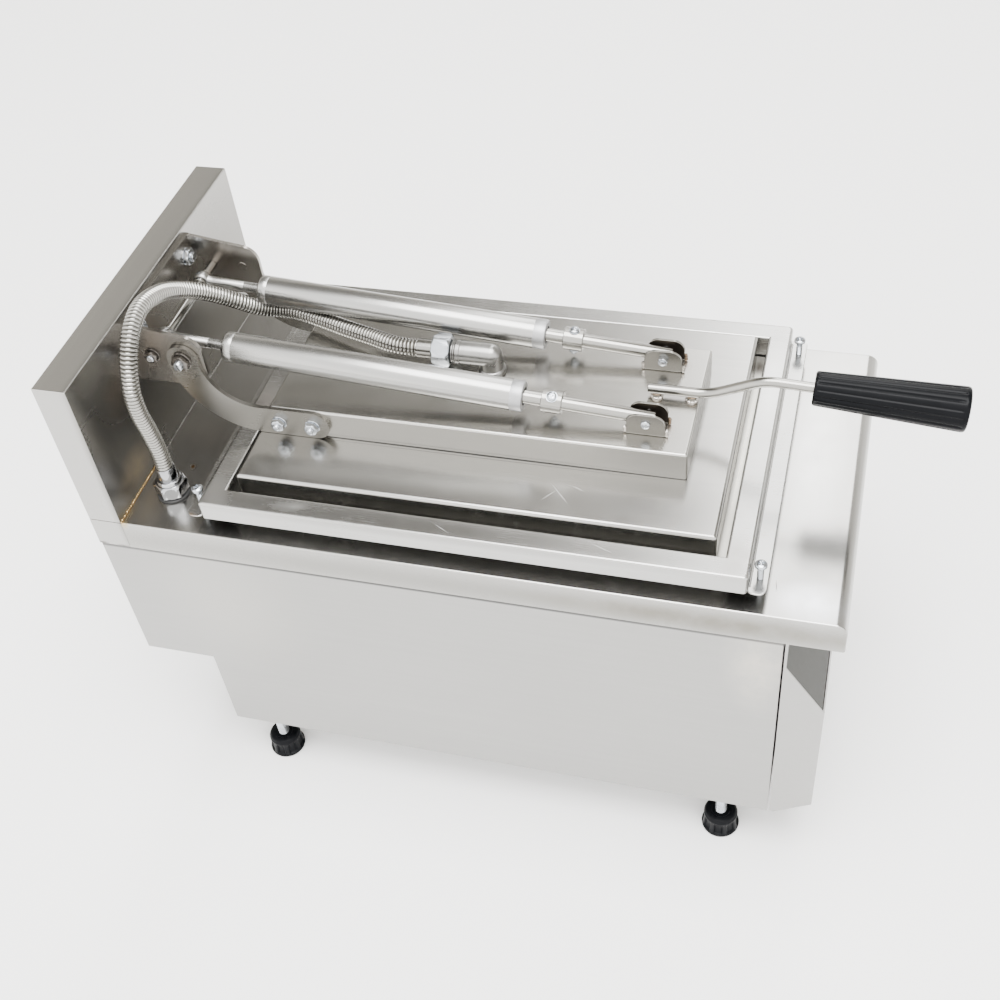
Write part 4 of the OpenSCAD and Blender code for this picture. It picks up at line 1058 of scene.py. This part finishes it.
def conduit_ends():
    p = Piece()
    m = place((-109, -57, 0), x=(1, 0.45, 0))
    p.polar(m, [(0.1, 13.0), (0.3, 13.4), (1.8, 13.4), (2.1, 13.0)], gasket, 48)
    hex_nut(p, m, 2.1, 15, 24, chrome)
    p.polar(m, [(14.6, 10.6), (15.6, 10.6), (17.0, 10.2), (18.0, 9.4), (18.2, 8.2)], chrome, 64)
    p.polar(m, [(16, 7.8), (29.4, 7.8), (30.4, 7.4), (30.6, 6.6)], chrome, 64)
    p.polar(m, [(-12, 7.6), (-0.5, 7.6)], chrome, 32)
    hex_nut(p, m, -6.5, -1.6, 22, zinc)
    p.done("conduit_gland_body", "cabinet", ["conduit_gland"], 35)
    p = Piece()
    m = place((8.5, -256, 79.7), (0, -1, 0), (1, 0, 0.25))
    hex_nut(p, m, 0, 15, 24, zinc)
    p.polar(m, [(-13.2, 7.0), (-13, 7.8), (0.5, 7.8)], steel_rod, 64)
    p.done("conduit_nut_body", "lid", ["conduit_nut"], 35)


def elbow():
    """The cast elbow: a threaded mouth, a rounded bend and a collar on the raised box."""
    p = Piece()
    r = 9.4
    m = place((8.5, -303, 79.7), (0, 1, 0), (1, 0, 0))
    mouth = [(z + d, q) for z in (28.2, 29.8) for d, q in ((0, 8.6), (0.4, 9.3), (1.0, 9.3))]
    profile = [(r * math.sin(math.radians(a)), r * math.cos(math.radians(a)))
               for a in range(-90, 1, 9)]
    profile = [(z, max(q, 0.05)) for z, q in profile]
    p.polar(m, profile + [(24, r), (24.4, 9.9), (27.4, 9.9), (27.8, 9.2)] + mouth + [(31.8, 8.4)],
            cast_grey, 72)
    down = place((8.5, -303, 79.7), (0, 0, -1), (1, 0, 0))
    p.polar(down, profile + [(11.4, r), (11.8, 10.2), (13.2, 10.9), (15.6, 11), (16.2, 10.6)],
            cast_grey, 72)
    p.polar(down, [(16, 7.6), (26, 7.6)], cast_grey, 32)
    p.done("conduit_elbow_body", "lid", ["conduit_elbow"], 40)


conduit()
conduit_ends()
elbow()


# ---- Controls ----

SLOPE = Vector((0, -48, 32)).normalized()


def on_slope(x):
    return place(Vector((x, -576, -84)), SLOPE, (1, 0, 0))


def knob(side, sx):
    """A round control with a grip bar, a pointer and a ribbed skirt."""
    p = Piece()
    m = on_slope(sx * 70)

    def ribs(r):
        return lambda a: r + 0.22 * math.cos(40 * a)
    p.polar(m, [(1, 15.4), (1.4, 15.9), (2.4, ribs(15.75)), (7.6, ribs(15.5)), (8.6, 15.4),
                (9.2, 14.8), (9.4, 13.2), (10.4, 13), (10.9, 12.6), (11, 11)], knob_black, 160)
    p.block(m, (-3, -13.6, 9), (3, 13.6, 16), knob_black, 0.9)
    p.block(m, (-0.6, 4, 15.6), (0.6, 12.4, 16.1), print_white, 0.1)
    p.done(f"{side}_knob_body", f"{side}_dial", [f"{side}_knob"], 30)


def lamps_and_gland():
    p = Piece()
    for sx in (-1, 1):
        m = on_slope(sx * 32)
        p.polar(m, [(0.05, 6), (1.1, 6), (1.5, 5.6)], chrome, 48)
        p.polar(m, [(1.2, 4.7), (2.4, 4.6), (3.2, 4.1), (3.8, 2.8), (4.0, 1.2)], lamp_amber, 48)
        p.polar(m, [(-20, 4), (0, 4)], knob_black, 24)
    p.done("pilot_lamps_set", "cabinet", ["pilot_lamps"], 35)
    p = Piece()
    m = place((95, -64, -215), (0, 1, 0), (1, 0, 0))
    hex_nut(p, m, 0, 5, 22, knob_black)

    def ribs(r):
        return lambda a: r + 0.25 * math.cos(24 * a)
    p.polar(m, [(5, 5.1), (5, 9.6), (5.5, ribs(9.8)), (13, ribs(9.6)), (14, 9.2), (18, 8.0),
                (19.6, 7.6), (20, 7.0), (20, 5.1), (5, 5.0)], knob_black, 96)
    hex_nut(p, m, -6.5, -1.6, 22, knob_black)
    p.done("cable_gland_body", "cabinet", ["cable_gland"], 30)


for side, sx in SIDES.items():
    knob(side, sx)
lamps_and_gland()


# ---- Room ----


def studio_world():
    """Soft light: bright behind the camera, a soft box beyond the front, dim at the rear right."""
    world = bpy.data.worlds.new("studio")
    bpy.context.scene.world = world
    world.use_nodes = True
    tree = world.node_tree
    tree.nodes.clear()
    ray = tree.nodes.new("ShaderNodeTexCoord").outputs["Generated"]

    def number(kind, *values):
        n = tree.nodes.new("ShaderNodeMath")
        n.operation = kind
        for socket, v in zip(n.inputs, values):
            if isinstance(v, (int, float)):
                socket.default_value = v
            else:
                tree.links.new(v, socket)
        return n.outputs[0]

    def toward(direction, low, high, share=1.0):
        """Rises smoothly from 0 to the share as rays turn towards a direction."""
        dot = tree.nodes.new("ShaderNodeVectorMath")
        dot.operation = "DOT_PRODUCT"
        dot.inputs[1].default_value = direction
        tree.links.new(ray, dot.inputs[0])
        ramp = tree.nodes.new("ShaderNodeMapRange")
        ramp.interpolation_type = "SMOOTHSTEP"
        ramp.inputs["From Min"].default_value = low
        ramp.inputs["From Max"].default_value = high
        ramp.inputs["To Max"].default_value = share
        tree.links.new(dot.outputs["Value"], ramp.inputs["Value"])
        return ramp.outputs[0]

    behind = toward((-1, 0, 0), -0.20, 0.50, 3.7)
    box = number("MULTIPLY", toward((0, -1, 0), -0.12, -0.04), toward((0, 1, 0), -0.13, -0.03))
    box = number("MULTIPLY", box, toward((0, 0, 1), 0.35, 0.60, 11.0))
    box = number("MULTIPLY", box, toward((1, 0, 0), 0.15, 0.45))
    edge = number("MULTIPLY", toward((1, 0, -0.25), 0.54, 0.64, 1.6),
                  toward((0, -1, 0), -0.30, -0.05))
    wall = toward((0, 0.8, -0.6), 0.02, 0.12, 1.2)
    dim = toward((0, -1, 0), -0.40, -0.10, 0.62)
    cards = number("ADD", number("ADD", behind, box), edge)
    room_light = number("ADD", number("ADD", wall, dim), 0.30)
    shaders = []
    for colour, strength in (((1, 1, 1, 1), cards), ((1, 0.955, 0.86, 1), room_light)):
        n = tree.nodes.new("ShaderNodeBackground")
        n.inputs["Color"].default_value = colour
        tree.links.new(strength, n.inputs["Strength"])
        shaders.append(n.outputs[0])
    both = tree.nodes.new("ShaderNodeAddShader")
    out = tree.nodes.new("ShaderNodeOutputWorld")
    tree.links.new(shaders[0], both.inputs[0])
    tree.links.new(shaders[1], both.inputs[1])
    tree.links.new(both.outputs[0], out.inputs["Surface"])


def room():
    """A pale floor under soft studio light."""
    p = Piece()
    corners = [Vector((sx * 8, sy * 8, 0)) for sx, sy in ((-1, -1), (1, -1), (1, 1), (-1, 1))]
    floor_face = p.bm.faces.new([p.bm.verts.new(c) for c in corners])
    n = Nodes("floor_paint")
    mottle = n.noise(2.0, 3, 0.5)
    n.set(Base_Color=n.mix(n.between(mottle, 0, 1), (0.90, 0.90, 0.90), (0.92, 0.92, 0.92)),
          Roughness=0.9)
    p.paint([floor_face], n.material)
    floor = p.done("floor", None)
    studio_world()
    data = bpy.data.lights.new("top", "AREA")
    data.size = 2.2
    data.energy = 270
    light = bpy.data.objects.new("top", data)
    light.location = (-0.5, -0.2, 3.4)
    bpy.context.scene.collection.objects.link(light)


room()
